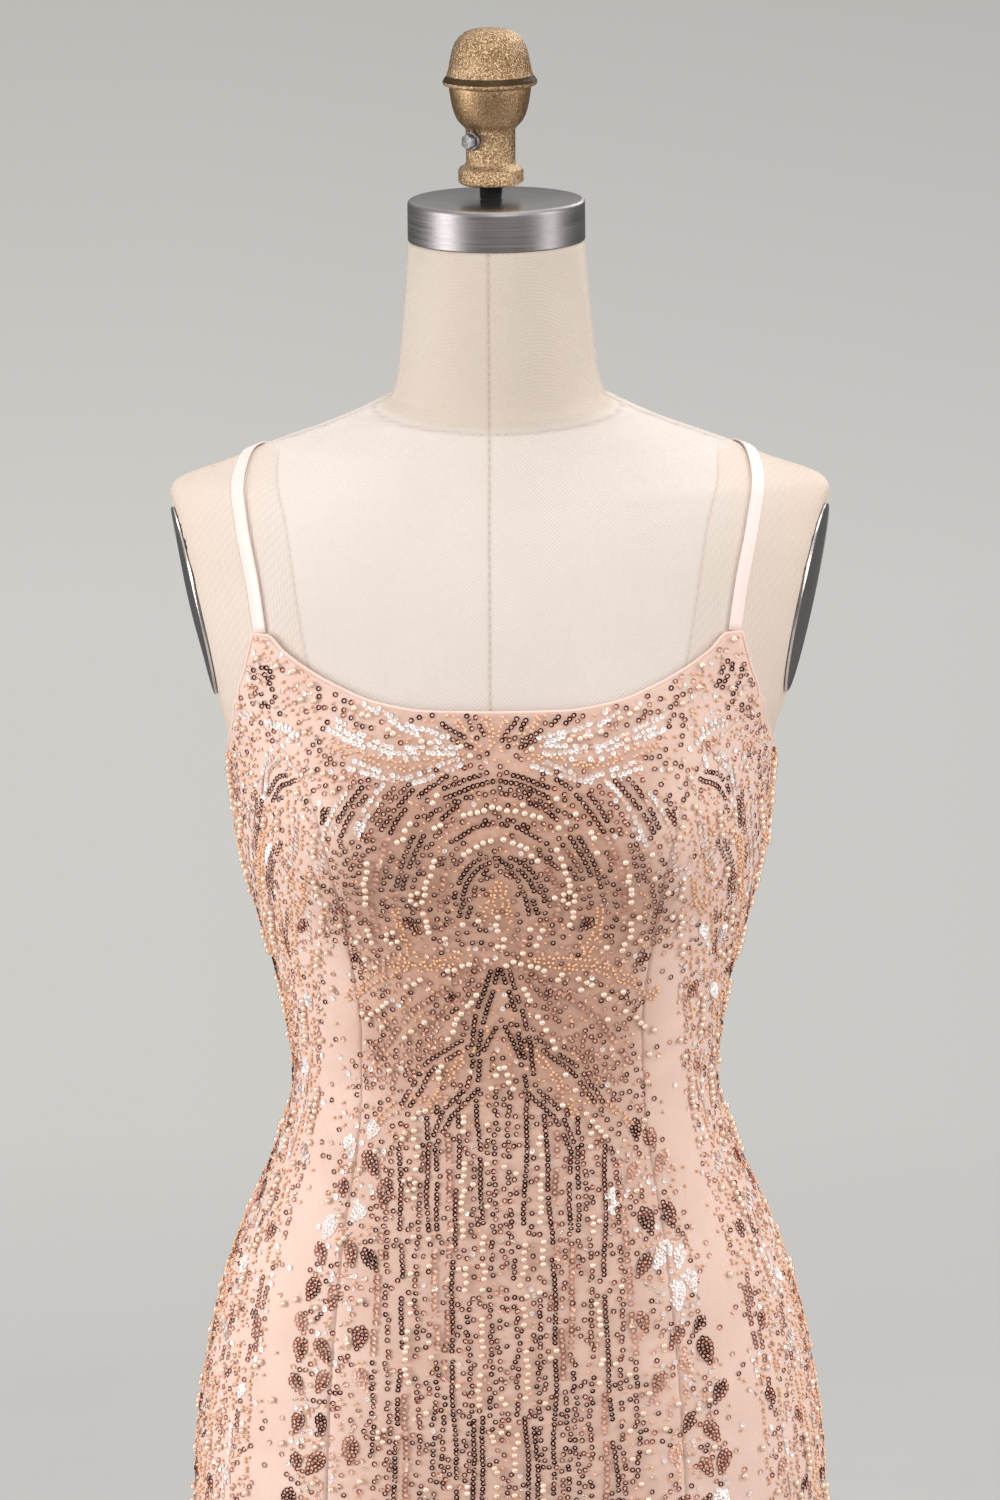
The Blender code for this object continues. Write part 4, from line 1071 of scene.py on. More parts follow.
def seam_strengths(heights):
    """How deep each seam is at each height. The centre back seam comes both first and last."""
    fades = np.clip((SEAM_FADE_HIGH - heights) / (SEAM_FADE_HIGH - SEAM_FADE_LOW), 0, 1)
    centre, curved = np.ones(len(heights)), fades * CURVED_SEAM
    side = fades * SIDE_SEAM_FADING + SIDE_SEAM_STAYING * (heights < SIDE_SEAM_TOP)
    return centre, curved, side, curved, centre, curved, side, curved, centre


def gore_columns(low, high, low_strength, high_strength):
    """The distances round of one gore's columns, and how much of a seam each is."""
    near = COLUMNS_A_GORE
    wide = (high - low)[:, None]
    inside = near[-1] + (wide - 2 * near[-1]) * np.linspace(0, 1, GORE_MIDDLE + 2)[1:-1]
    first = np.broadcast_to(near, (len(low), len(near)))
    from_low = np.concatenate([first, inside, wide - near[:0:-1]], axis=1)
    by_low = np.exp(-((from_low / GROOVE_REACH) ** 2)) * low_strength[:, None]
    by_high = np.exp(-(((wide - from_low) / GROOVE_REACH) ** 2)) * high_strength[:, None]
    return low[:, None] + from_low, np.maximum(by_low, by_high)


def foot_ring(lowest, turned):
    """A ring of the rounded lower edge, drawn in and down from the lowest full ring."""
    ring = lowest * (1 - FORM_FOOT_ROUND * (1 - cos(turned * pi / 2)) / FOOT_RADIUS)
    ring[:, 2] = FORM_FOOT + FORM_FOOT_ROUND - FORM_FOOT_ROUND * sin(turned * pi / 2)
    return ring


def with_foot(table):
    """Repeats a table's lowest row for the rings of the foot."""
    return np.concatenate([table[:1]] * len(FOOT_RINGS) + [table])


def make_form():
    heights = form_rows()
    seams, strengths = form_seams(heights), seam_strengths(heights)
    gores = [gore_columns(seams[:, gore], seams[:, gore + 1], strengths[gore], strengths[gore + 1])
             for gore in range(GORES)]
    girths, seam_values = (np.concatenate([gore[part] for gore in gores], axis=1) for part in (0, 1))
    grid = np.broadcast_to(heights[:, None], girths.shape)
    points, normals = bare.at(grid, girths)
    share = np.abs(girths) / bare.half_girth(heights)[:, None]
    neck_seam = NECK_SEAM_FRONT + NECK_SEAM_RISE * np.sin(pi / 2 * share) ** 2
    upright = np.maximum(np.hypot(normals[..., 0], normals[..., 1]), LEAST_UPRIGHT)
    round_neck = np.exp(-(((grid - neck_seam) / upright / NECK_SEAM_REACH) ** 2))
    seam_values = np.maximum(seam_values, round_neck)
    points = points - normals * (GROOVE_DEPTH * seam_values)[..., None]
    points = np.concatenate([foot_ring(points[0], turned)[None] for turned in FOOT_RINGS] + [points])
    climbed = np.cumsum(np.linalg.norm(np.diff(points, axis=0), axis=2), axis=0)
    along = np.concatenate([np.zeros((1, climbed.shape[1])), climbed])
    is_side = np.repeat([float(gore in SIDE_GORES) for gore in range(GORES)], gores[0][0].shape[1])
    gore_values = is_side * np.clip((GORE_TOP - heights) / GORE_FADE, 0, 1)[:, None]
    form = make_mesh("form_canvas", points.reshape(-1, 3) * MM, tube_faces(*points.shape[:2]))
    add_uv(form, np.stack([with_foot(girths), along], axis=-1).reshape(-1, 2) * MM)
    add_values(form, "seam", with_foot(seam_values).reshape(-1))
    add_values(form, "gore", with_foot(gore_values).reshape(-1))
    # neck marks the canvas above the neck seam, which the material paints in shade.
    above = (points[..., 2] - with_foot(neck_seam)) / NECK_FADE
    add_values(form, "neck", np.clip(above, 0, 1).reshape(-1))
    cap_ends(form)
    return form


def make_canvas():
    """Cream canvas: plain weave in front, slanted twill on the side gores, soiled along the seams,
    painted shade on the neck.
    """
    material, tree, shader = start_material("form_canvas", Roughness=0.88, Sheen_Weight=0.12,
                                            Specular_IOR_Level=0.2)
    place = cut_place(tree)
    gore = stored(tree, "gore")
    slanted = node(tree, "ShaderNodeMapping", {"Vector": place, "Rotation": (0, 0, radians(24)),
                                               "Scale": (1.0, 0.32, 1.0)}).outputs[0]
    thread = mixed(tree, gore, woven(tree, place, 880.0), woven(tree, slanted, 760.0))
    patches = mottled(tree, place, 7.0, 900.0)
    # The neck's tones are darker and more yellow than the front's: painted shade on the upright neck.
    front, side, neck = (mixed(tree, patches["Value"], colour(*pale), colour(*dark)) for pale, dark in (
        ((0.706, 0.639, 0.604), (0.670, 0.597, 0.552)), ((0.645, 0.535, 0.455), (0.605, 0.488, 0.402)),
        ((0.600, 0.520, 0.452), (0.565, 0.482, 0.412))))
    away = sum_of(tree, "ABSOLUTE", node(tree, "ShaderNodeSeparateXYZ", {0: place}).outputs[0])
    warmth = sum_of(tree, "MINIMUM", ranged(tree, away, 0.13, 0.20, 0.35, 1.0),
                    ranged(tree, away, 0.30, 0.38, 1.0, 0.35))
    ground = mixed(tree, sum_of(tree, "MULTIPLY", gore, warmth), front, side)
    # Painted shade on the neck above its seam.
    ground = mixed(tree, stored(tree, "neck"), ground, neck)
    threaded = mixed(tree, sum_of(tree, "MULTIPLY", thread, 0.26), ground, colour(0.50, 0.41, 0.33))
    soiled = sum_of(tree, "MULTIPLY_ADD", woven(tree, place, 420.0), 0.3, 0.28)
    soiled = sum_of(tree, "MULTIPLY", stored(tree, "seam"), soiled)
    paint(tree, shader, mixed(tree, soiled, threaded, colour(0.36, 0.28, 0.21)))
    raise_by(tree, shader, sum_of(tree, "MULTIPLY_ADD", patches["Fine"], 0.4, thread), 0.3, 0.7)
    return material


form_canvas = make_canvas()
form = finish_piece(make_form(), form_canvas)
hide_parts("torso_form")
print("form has", triangles_in(form), "triangles")

# %% [markdown]
# ## Turned metal
# The cap, the clamp, the finial, the pole and the base are all round, so each is drawn as half of its
# outline and spun about an upright axis, as a lathe would cut it. The outline starts as one point that is
# extruded from place to place. A small bevel then breaks each edge, because a sharp edge catches no
# light.

# %% A lathe
LATHE_STEPS, SHARP, WELD = 96, radians(28), 0.005


def break_edges(piece, wide, segments=2):
    """A small bevel along every sharp edge."""
    select_only(piece)
    bevel = piece.modifiers.new("broken_edges", "BEVEL")
    bevel.width = wide * MM
    bevel.segments = segments
    bevel.limit_method = "ANGLE"
    bevel.angle_limit = SHARP
    bpy.ops.object.modifier_apply(modifier=bevel.name)


def raised(base, profile):
    """An outline whose heights are measured from a base."""
    return [(radius, base + height) for radius, height in profile]


def turn_on_lathe(name, profile, centre=(0.0, 0.0), bevel=0.4, smooth=40, steps=LATHE_STEPS):
    """Spins an outline of (radius, height) in millimetres, from the axis below to the axis above."""
    bpy.ops.mesh.primitive_plane_add(size=1 * MM)
    piece = bpy.context.object
    piece.name = name
    x, y = (part * MM for part in centre)
    places = [Vector((x + radius * MM, y, height * MM)) for radius, height in profile]
    edit_all(piece)
    bpy.ops.mesh.merge(type="CENTER")
    bpy.ops.transform.translate(value=places[0])
    for here, there in zip(places, places[1:]):
        bpy.ops.mesh.extrude_region_move(TRANSFORM_OT_translate={"value": there - here})
    bpy.ops.mesh.select_all(action="SELECT")
    bpy.ops.mesh.spin(steps=steps, angle=2 * pi, center=(x, y, 0), axis=(0, 0, 1))
    bpy.ops.mesh.select_all(action="SELECT")
    bpy.ops.mesh.remove_doubles(threshold=WELD * MM)
    bpy.ops.mesh.normals_make_consistent(inside=False)
    bpy.ops.object.mode_set(mode="OBJECT")
    if bevel:
        break_edges(piece, bevel)
    select_only(piece)
    bpy.ops.object.shade_smooth_by_angle(angle=radians(smooth))
    return piece


def finish_band(piece, material, low, high):
    """Gives the faces between two heights, in millimetres, a second finish."""
    piece.data.materials.append(material)
    number = len(piece.data.materials) - 1
    for face in piece.data.polygons:
        if low * MM < face.center.z < high * MM:
            face.material_index = number


print("the lathe turns in", LATHE_STEPS, "steps")

# %% [markdown]
# ## Metal finishes
# The neck cap is steel that a belt has brushed round its side. The clamp and finial are bronze cast in
# sand, so their skin is grainy, with dark hollows and pale painted highlights on the heights of the
# grain.
# Under the clamp and in a band just above the finial's rim the bronze is painted near black, as painted
# shade. The bolt is zinc-plated and a little rough. The armhole plates are dull dark steel with a
# polished rim. The rod is black, the pole bright, the stand grey.

# %% Brushed steel and its polished top
def make_brushed_steel():
    material, tree, shader = start_material("brushed_steel", Metallic=1.0)
    place = object_place(tree)
    lines = drawn_lines(tree, place, (14.0, 14.0, 2600.0))
    stained = sum_of(tree, "MULTIPLY", mottled(tree, place, 34.0, 700.0)["Value"], 0.35)
    tint = mixed(tree, lines, colour(0.250, 0.233, 0.231), colour(0.335, 0.317, 0.315))
    paint(tree, shader, mixed(tree, stained, tint, colour(0.22, 0.20, 0.197)),
          between(tree, lines, 0.38, 0.52))
    raise_by(tree, shader, lines, 0.05, 0.35)
    return material


def make_polished_steel():
    material, tree, shader = start_material("polished_steel", Metallic=1.0)
    smears = mottled(tree, object_place(tree), 40.0, 900.0)
    tint = mixed(tree, smears["Value"], colour(0.60, 0.575, 0.565), colour(0.70, 0.675, 0.665))
    paint(tree, shader, tint, between(tree, smears["Fine"], 0.20, 0.27))
    return material


brushed_steel, polished_steel = make_brushed_steel(), make_polished_steel()
print("steel finishes made")

# %% Cast bronze, zinc, dark steel and coated metal
def make_bronze(name, grain_share, light, lift):
    """Bronze from a sand mould. grain_share is how much the grain colours it, light how pale it is."""
    material, tree, shader = start_material(name, Metallic=0.95)
    place = object_place(tree)
    grain = node(tree, "ShaderNodeTexNoise",
                 {"Vector": place, "Scale": 980.0, "Detail": 2.0, "Roughness": 0.5}).outputs[0]
    patina = mottled(tree, place, 40.0, 260.0)
    brown, gold, glint = (colour(*(light * part for part in tint)) for tint in (
        (0.24, 0.130, 0.055), (0.49, 0.325, 0.180), (0.84, 0.66, 0.47)))
    ground = mixed(tree, patina["Value"], brown, gold)
    pits = sum_of(tree, "MULTIPLY", ranged(tree, grain, 0.47, 0.36), grain_share)
    # Painted highlights: the grain's heights are painted pale, as glints of light on them.
    glints = sum_of(tree, "MULTIPLY", ranged(tree, grain, 0.52, 0.63), grain_share)
    pitted = mixed(tree, pits, ground, colour(0.075, 0.040, 0.018))
    smooth = 1.0 - grain_share
    paint(tree, shader, mixed(tree, glints, pitted, glint),
          between(tree, patina["Fine"], 0.28 + 0.18 * smooth, 0.42 + 0.24 * smooth))
    raise_by(tree, shader, grain, lift)
    return material


def make_zinc():
    material, tree, shader = start_material("zinc_plate", Metallic=1.0)
    place = object_place(tree)
    crystals = node(tree, "ShaderNodeTexVoronoi", {"Vector": place, "Scale": 900.0}).outputs["Color"]
    tone = node(tree, "ShaderNodeSeparateXYZ", {0: crystals}).outputs[0]
    dirt = mottled(tree, place, 160.0, 1500.0)
    tint = mixed(tree, tone, colour(0.15, 0.15, 0.15), colour(0.30, 0.30, 0.305))
    soiled = mixed(tree, sum_of(tree, "MULTIPLY", dirt["Value"], 0.5), tint, colour(0.17, 0.15, 0.13))
    paint(tree, shader, soiled, between(tree, dirt["Fine"], 0.4, 0.6))
    raise_by(tree, shader, dirt["Fine"], 0.12, 0.6)
    return material


def make_coated(name, light, dark, metallic, low_rough, high_rough, grain, lift):
    """A coat with fine grain: light and dark are its two tones."""
    material, tree, shader = start_material(name, Metallic=metallic)
    coat = mottled(tree, object_place(tree), 14.0, grain)
    paint(tree, shader, mixed(tree, coat["Value"], colour(*dark), colour(*light)),
          between(tree, coat["Fine"], low_rough, high_rough))
    raise_by(tree, shader, coat["Fine"], lift, 0.5)
    return material


# name, light tone, dark tone, how metallic, lowest and highest roughness, grain a metre, lift
COATS = (("dark_steel", (0.30, 0.295, 0.285), (0.20, 0.195, 0.19), 1.0, 0.34, 0.5, 500.0, 0.05),
         ("black_metal", (0.035, 0.04, 0.038), (0.02, 0.022, 0.02), 0.4, 0.35, 0.6, 700.0, 0.05),
         ("stand_coat", (0.34, 0.335, 0.33), (0.27, 0.265, 0.26), 0.55, 0.42, 0.6, 900.0, 0.1),
         ("pole_chrome", (0.66, 0.65, 0.65), (0.56, 0.55, 0.55), 1.0, 0.12, 0.24, 300.0, 0.01),
         ("zip_metal", (0.76, 0.50, 0.42), (0.62, 0.39, 0.33), 0.55, 0.3, 0.45, 1200.0, 0.03))
cast_bronze = make_bronze("cast_bronze", 0.6, 1.0, 1.0)
smooth_bronze = make_bronze("smooth_bronze", 0.3, 0.80, 0.4)
# Bronze painted near black: painted shade for the clamp's underside and the hollow above the finial's
# rim.
bronze_in_painted_shade = make_bronze("bronze_in_painted_shade", 0.3, 0.16, 0.3)
zinc_plate = make_zinc()
dark_steel, black_metal, stand_coat, pole_chrome, zip_metal = (make_coated(*coat) for coat in COATS)
print("metal finishes made:", [coat[0] for coat in COATS])

# %% Neck cap, rod, clamp fitting and finial
CAP_BOTTOM, CAP_TOP, CAP_RADIUS, CAP_POLISH = 1476.3, 1499.3, 50.5, 0.1
FITTING_SHIFT, FITTING_BOTTOM, FINIAL_RIM = -2.8, 1508.0, 1564.3
FITTING_CENTRE = (FITTING_SHIFT, 0.0)
PIECE_GAP = 0.3  # between pieces that stand on each other
ROD_RADIUS, ROD_THREAD_RADIUS, ROD_THREADS, THREAD_PITCH = 6.1, 6.6, 9, 0.75


def make_neck_cap():
    """A spun steel cap with a rounded upper rim and a polished top."""
    radius, foot, top = CAP_RADIUS, CAP_BOTTOM, CAP_TOP
    profile = ((0, foot), (radius - 0.5, foot), (radius, foot + 0.5), (radius, foot + 1.2),
               (radius, top - 3.4), (radius, top - 2.4), (radius - 0.2, top - 1.4),
               (radius - 0.75, top - 0.6), (radius - 1.7, top - 0.15), (radius - 3.0, top), (0, top))
    cap = turn_on_lathe("neck_cap_steel", profile, bevel=0, steps=128)
    finish_piece(cap, brushed_steel)
    cap.data.materials.append(polished_steel)
    for face in cap.data.polygons:
        face.material_index = int(face.center.z > (CAP_TOP - CAP_POLISH) * MM)
    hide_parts("neck_cap")
    return cap


def make_fitting():
    base = FITTING_BOTTOM
    profile = raised(base, (
        (0, 0), (16.4, 0), (17.9, 0.7), (18.6, 2.0), (18.5, 8.2), (17.6, 9.7), (15.6, 10.6), (14.3, 11.8),
        (14.0, 13.5), (14.1, 31.2), (14.8, 32.5), (16.5, 34.1), (18.5, 36.4), (20.0, 39.2), (21.2, 42.8),
        (22.0, 46.2), (22.6, 49.6), (23.1, 53), (23.3, 56), (0, 56)))
    fitting = turn_on_lathe("clamp_fitting_bronze", profile, FITTING_CENTRE, bevel=0.5)
    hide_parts("clamp_fitting")
    finish_piece(fitting, cast_bronze)
    finish_band(fitting, smooth_bronze, base + 32, base + 60)
    # Painted shade on the clamp's underside.
    finish_band(fitting, bronze_in_painted_shade, base - 1, base + 0.6)
    return fitting


def make_finial():
    rim = FINIAL_RIM
    profile = raised(rim, (
        (0, 0), (24.8, 0), (25.9, 0.35), (26.7, 1.0), (26.9, 1.8), (26.8, 2.5), (26.1, 3.9), (25.1, 5.1),
        (24.7, 6.0), (24.2, 7.4), (23.6, 9.4), (23.1, 11.6), (22.5, 15), (21.8, 18.2), (20.9, 21.4),
        (19.6, 24.4), (17.5, 27.3), (14.4, 29.8), (10.2, 31.5), (5.2, 32.15), (0, 32.2)))
    finial = turn_on_lathe("finial_cap_bronze", profile, FITTING_CENTRE, bevel=0.3, smooth=60)
    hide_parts("finial_cap")
    finish_piece(finial, cast_bronze)
    # Painted shade in the band where the finial's rim turns in to the dome.
    finish_band(finial, bronze_in_painted_shade, rim + 2.3, rim + 5.7)
    return finial


def make_neck_rod():
    low, high = CAP_TOP + PIECE_GAP, FITTING_BOTTOM - PIECE_GAP
    profile = [(0, low), (ROD_RADIUS, low)]
    for turn in range(ROD_THREADS):
        height = CAP_TOP + 2 * PIECE_GAP + THREAD_PITCH * turn
        profile += [(ROD_RADIUS, height), (ROD_THREAD_RADIUS, height + 0.37)]
    profile += [(ROD_RADIUS, high), (0, high)]
    rod = turn_on_lathe("neck_rod_black", profile, FITTING_CENTRE, bevel=0, steps=32)
    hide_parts("neck_rod")
    return finish_piece(rod, black_metal)


neck_pieces = [make_neck_cap(), make_fitting(), make_finial(), make_neck_rod()]
print("neck pieces:", [piece.name for piece in neck_pieces])

# %% [markdown]
# ## The clamp bolt
# A hexagon bolt presses on the clamp's stem. Its head is a six-sided cylinder with its outer corners
# broken, and behind it sits a round collar. Both are made lying on their side, turned to face the
# wearer's right front.

# %% Clamp bolt
BOLT_HEIGHT, BOLT_TURN, FITTING_STEM = 1534.0, radians(-42), 14.1
BOLT_HEAD_RADIUS, BOLT_HEAD, BOLT_COLLAR_RADIUS, BOLT_COLLAR = 4.7, 3.2, 5.4, 2.2
BOLT_NARROW, BOLT_SINK = 0.86, 0.2


def add_bolt_disc(radius, start, deep, sides):
    """A cylinder along the bolt's own axis, start millimetres out from the stem."""
    out = Vector((sin(BOLT_TURN), -cos(BOLT_TURN), 0))
    middle = Vector((FITTING_SHIFT, 0, BOLT_HEIGHT)) + out * (FITTING_STEM + SEAM_GAP + start + deep / 2)
    bpy.ops.mesh.primitive_cylinder_add(vertices=sides, radius=radius * MM, depth=deep * MM,
                                        location=middle * MM, rotation=(pi / 2, 0, BOLT_TURN))
    bpy.ops.object.transform_apply(location=True, rotation=True, scale=True)
    return bpy.context.object


def make_bolt():
    collar = add_bolt_disc(BOLT_COLLAR_RADIUS, 0, BOLT_COLLAR, 40)
    break_edges(collar, 0.5)
    shoulder = add_bolt_disc(BOLT_HEAD_RADIUS * BOLT_NARROW, BOLT_COLLAR - BOLT_SINK, 0.5, 32)
    head = add_bolt_disc(BOLT_HEAD_RADIUS, BOLT_COLLAR + BOLT_SINK, BOLT_HEAD - BOLT_SINK, 6)
    break_edges(head, 0.45, segments=3)
    collar.select_set(True)
    shoulder.select_set(True)
    bpy.ops.object.join()
    head.name = "clamp_bolt_zinc"
    bpy.ops.object.shade_smooth_by_angle(angle=radians(30))
    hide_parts("clamp_bolt")
    return finish_piece(head, zinc_plate)


bolt = make_bolt()
print("bolt has", triangles_in(bolt), "triangles")

# %% [markdown]
# ## Armhole plates
# Each armhole of the form is closed by an oval steel plate. It is turned as a round plate with a raised,
# polished rim, pressed to an oval, and then laid against the flat face, which leans in towards its foot.

# %% Armhole plates
PLATE_HEIGHT, PLATE_HALF_TALL, PLATE_HALF_WIDE, PLATE_DEPTH = 1269, 56, 39, -7
PLATE_RIM = 0.94  # the share of the plate inside its polished rim
PLATE_OUTLINE = ((0, 0.1), (38.4, 0.1), (39.0, 0.6), (39.0, 1.4), (38.5, 1.9), (37.6, 2.0), (36.9, 1.6),
                 (35.6, 1.5), (26, 2.7), (12, 3.7), (0, 4.0))


def make_plate(side, word):
    plate = turn_on_lathe("arm_plate_" + word + "_steel", PLATE_OUTLINE, bevel=0, smooth=25)
    normal = Vector((1, -ARM_CUT_TOE, -ARM_CUT_LEAN)).normalized()
    up = (Vector((0, 0, 1)) - normal * normal.z).normalized()
    ahead = up.cross(normal)
    foot = Vector((float(arm_cut(PLATE_HEIGHT, PLATE_DEPTH)), PLATE_DEPTH, PLATE_HEIGHT))
    foot = foot + normal * SEAM_GAP
    lie = Matrix((ahead, up * (PLATE_HALF_TALL / PLATE_HALF_WIDE), normal)).transposed().to_4x4()
    plate.data.transform(Matrix.Translation(foot * MM) @ lie)
    if side < 0:
        plate.data.transform(Matrix.Scale(-1, 4, (1, 0, 0)))
        plate.data.flip_normals()
    finish_piece(plate, dark_steel)
    plate.data.materials.append(polished_steel)
    for face in plate.data.polygons:
        place = face.center / MM
        place.x *= side
        flat = place - foot
        reach = (flat.dot(up) / PLATE_HALF_TALL) ** 2 + (flat.dot(ahead) / PLATE_HALF_WIDE) ** 2
        face.material_index = int(reach > PLATE_RIM ** 2)
    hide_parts("arm_plate_" + word)
    return plate


plates = [make_plate(side, word) for side, word in SIDES]
print("plates:", [plate.name for plate in plates])

# %% [markdown]
# ## The stand
# The form's stand stays plain: a round weighted base, a socket, a bright pole and a flange that carries
# the form. They are turned on the same lathe as the neck pieces.

# %% Stand
BASE_RADIUS, BASE_THICK, SOCKET_FOOT, SOCKET_TOP = 200.0, 10.0, 10.3, 56.3
POLE_RADIUS, FLANGE_FOOT = 14.0, 691.7
POLE_FOOT, POLE_TOP = SOCKET_TOP + PIECE_GAP, FLANGE_FOOT - PIECE_GAP
GROOVE_RADIUS = 13.2  # of the ring cut round the pole
BASE_OUTLINE = ((0, 0), (197, 0), (199.2, 0.8), (BASE_RADIUS, 2.4), (BASE_RADIUS, 6.4), (198.8, 8.6),
                (196, BASE_THICK), (0, BASE_THICK))
SOCKET_OUTLINE = ((0, SOCKET_FOOT), (38, SOCKET_FOOT), (38, 14.6), (36.5, 15.6), (28.4, 18.6), (26.6, 22),
                  (23.6, 51), (22.6, 54.6), (20.2, SOCKET_TOP), (0, SOCKET_TOP))
POLE_OUTLINE = ((0, POLE_FOOT), (POLE_RADIUS, POLE_FOOT), (POLE_RADIUS, SOCKET_TOP + 2),
                (POLE_RADIUS, 394), (POLE_RADIUS, 396), (GROOVE_RADIUS, 396.6), (GROOVE_RADIUS, 398.4),
                (POLE_RADIUS, 399), (POLE_RADIUS, 401), (POLE_RADIUS, FLANGE_FOOT - 2),
                (POLE_RADIUS, POLE_TOP), (0, POLE_TOP))
FLANGE_OUTLINE = raised(FLANGE_FOOT, ((0, 0), (22, 0), (46.5, 4.6), (48, 5.6), (48, 8), (0, 8)))
STAND = (  # name, outline, the frame's piece, finish, slot, steps, bevel
    ("base_plate_coated", BASE_OUTLINE, "base_plate", stand_coat, "dark_steel", 160, 0.3),
    ("base_socket_coated", SOCKET_OUTLINE, "base_socket", stand_coat, "dark_steel", 96, 0.4),
    ("pole_bright", POLE_OUTLINE, "pole", pole_chrome, "steel", 96, 0.2),
    ("form_flange_coated", FLANGE_OUTLINE, "form_flange", stand_coat, "dark_steel", 96, 0.3))


def make_stand():
    made = []
    for name, profile, cad_name, material, slot_name, steps, bevel in STAND:
        piece = turn_on_lathe(name, profile, bevel=bevel, steps=steps)
        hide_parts(cad_name)
        made.append(finish_piece(piece, material))
    return made


stand = make_stand()
print("stand:", [piece.name for piece in stand])

# %% [markdown]
# ## The zip
# A dress like this closes down the centre back with a concealed zip: the coil lies behind the meeting
# edges, and from outside one sees two folded lips, the tops of the teeth between them, and the slider
# with its drop-shaped tab. The slider and the tab are solids of the frame whose shape is right, so they
# only get a finish. One tooth is modelled and copied along the opening, and the lips are narrow tubes.

# %% Zip teeth and lips
ZIP_TOP, ZIP_FOOT, TOOTH_PITCH, TOOTH_SHIFT = 1166.5, 962.0, 1.15, 0.45
SLIDER_MIDDLE, SLIDER_CLEAR = 1158.0, 5.4
LIP_AWAY, LIP_WIDE, LIP_THICK, LIP_OUT, LIP_STEP, LIP_BELOW = 1.75, 1.7, 1.1, 0.05, 4, 3
TOOTH_SIZE, TOOTH_EDGE, TOOTH_SINK = (1.7, 0.7, 0.8), 0.18, 0.28


def points_and_triangles(piece):
    """Takes a piece apart into its points in metres and its triangles."""
    piece.data.calc_loop_triangles()
    points = np.array([tuple(v.co) for v in piece.data.vertices])
    triangles = np.array([tuple(t.vertices) for t in piece.data.loop_triangles])
    bpy.data.objects.remove(piece)
    return points, triangles


def model_tooth():
    bpy.ops.mesh.primitive_cube_add(size=1 * MM)
    tooth = bpy.context.object
    edit_all(tooth)
    bpy.ops.transform.resize(value=TOOTH_SIZE, center_override=(0, 0, 0))
    bpy.ops.mesh.bevel(offset=TOOTH_EDGE * MM, offset_type="OFFSET", segments=1, affect="EDGES")
    bpy.ops.object.mode_set(mode="OBJECT")
    return points_and_triangles(tooth)


def make_zip_teeth():
    points, triangles = model_tooth()
    heights = np.arange(ZIP_FOOT, ZIP_TOP, TOOTH_PITCH)
    middle, out = dressed.at(heights, centre_back(heights))
    middle = middle + out * (CLOTH_OUT - TOOTH_SINK)
    middle[:, 0] = TOOTH_SHIFT * np.where(np.arange(len(heights)) % 2, 1, -1)
    placed = points[None] + middle[:, None, :] * MM
    faces = triangles[None] + (np.arange(len(heights)) * len(points))[:, None, None]
    teeth = make_mesh("zip_teeth", placed.reshape(-1, 3), faces.reshape(-1, 3), smooth=False)
    return finish_piece(teeth, zip_metal)


def make_zip_lip(side, word):
    """A folded lip from just below the teeth to the slider. Each wanders a little in its own way."""
    low, high = ZIP_FOOT - LIP_BELOW, SLIDER_MIDDLE - SLIDER_CLEAR
    heights = np.linspace(low, high, int((high - low) / LIP_STEP))
    points, normals = dressed.at(heights, centre_back(heights))
    points = points + normals * (CLOTH_OUT + LIP_OUT + 0.1 * np.sin(heights / 9.0 + side))[:, None]
    points[:, 0] = side * (LIP_AWAY + 0.12 * np.sin(heights / 13.0 + 2 * side))
    lip = tube_along(f"zip_lip_{word}_below", points, normals, LIP_WIDE, LIP_THICK)
    return finish_piece(lip, blush_binding)


zip_teeth = make_zip_teeth()
for side, word in SIDES:
    make_zip_lip(side, word)
for name in ("zip_slider", "zip_pull"):
    for material_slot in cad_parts[name].material_slots:
        material_slot.material = zip_metal
print("zip has", triangles_in(zip_teeth), "triangles of teeth")

# %% [markdown]
# ## Beads and sequins, one of each
# Five small things are sewn on the net: cupped sequins with a hole, flatter ones called spangles, pearls,
# glass seed beads and short bugle beads. Each is modelled once, with few faces, because thousands of
# copies follow. Every copy has X along its row, Y across it and Z away from the cloth. A sequin keeps a
# number from its hole to its rim, so that its material can paint a pale highlight on the flat middle,
# where the inner face of a cupped sequin catches light, and leave the slope round it dark.

# %% Model one of each
SEQUIN_RADIUS, SEQUIN_SIDES, SEQUIN_HOLE, SEQUIN_CUP = 1.6, 9, 0.45, 0.5
SPANGLE_HOLE, SPANGLE_CUP = 0.42, 0.22
PEARL_RADIUS, SEED_RADIUS, SEED_FLAT, BUGLE_RADIUS, BUGLE_LONG = 1.95, 1.1, 0.85, 0.5, 3.0
SEEN_FROM = -4  # a sequin's faces all turn away from this height on its axis


def as_pattern(piece, rim_from=None):
    """The piece's points in metres, its triangles and each point's number from hole to rim."""
    points, triangles = points_and_triangles(piece)
    corners = points[triangles]
    across = np.cross(corners[:, 1] - corners[:, 0], corners[:, 2] - corners[:, 0])
    outward = corners.mean(axis=1) - (0, 0, SEEN_FROM * MM if rim_from else 0)
    faces_in = np.einsum("ij,ij->i", across, outward) < 0
    triangles[faces_in] = triangles[faces_in][:, ::-1]
    rim = np.zeros(len(points))
    if rim_from:
        reach = np.hypot(points[:, 0], points[:, 1]) / MM
        rim = np.clip((reach - rim_from[0]) / (rim_from[1] - rim_from[0]), 0, 1)
    return points, triangles, rim


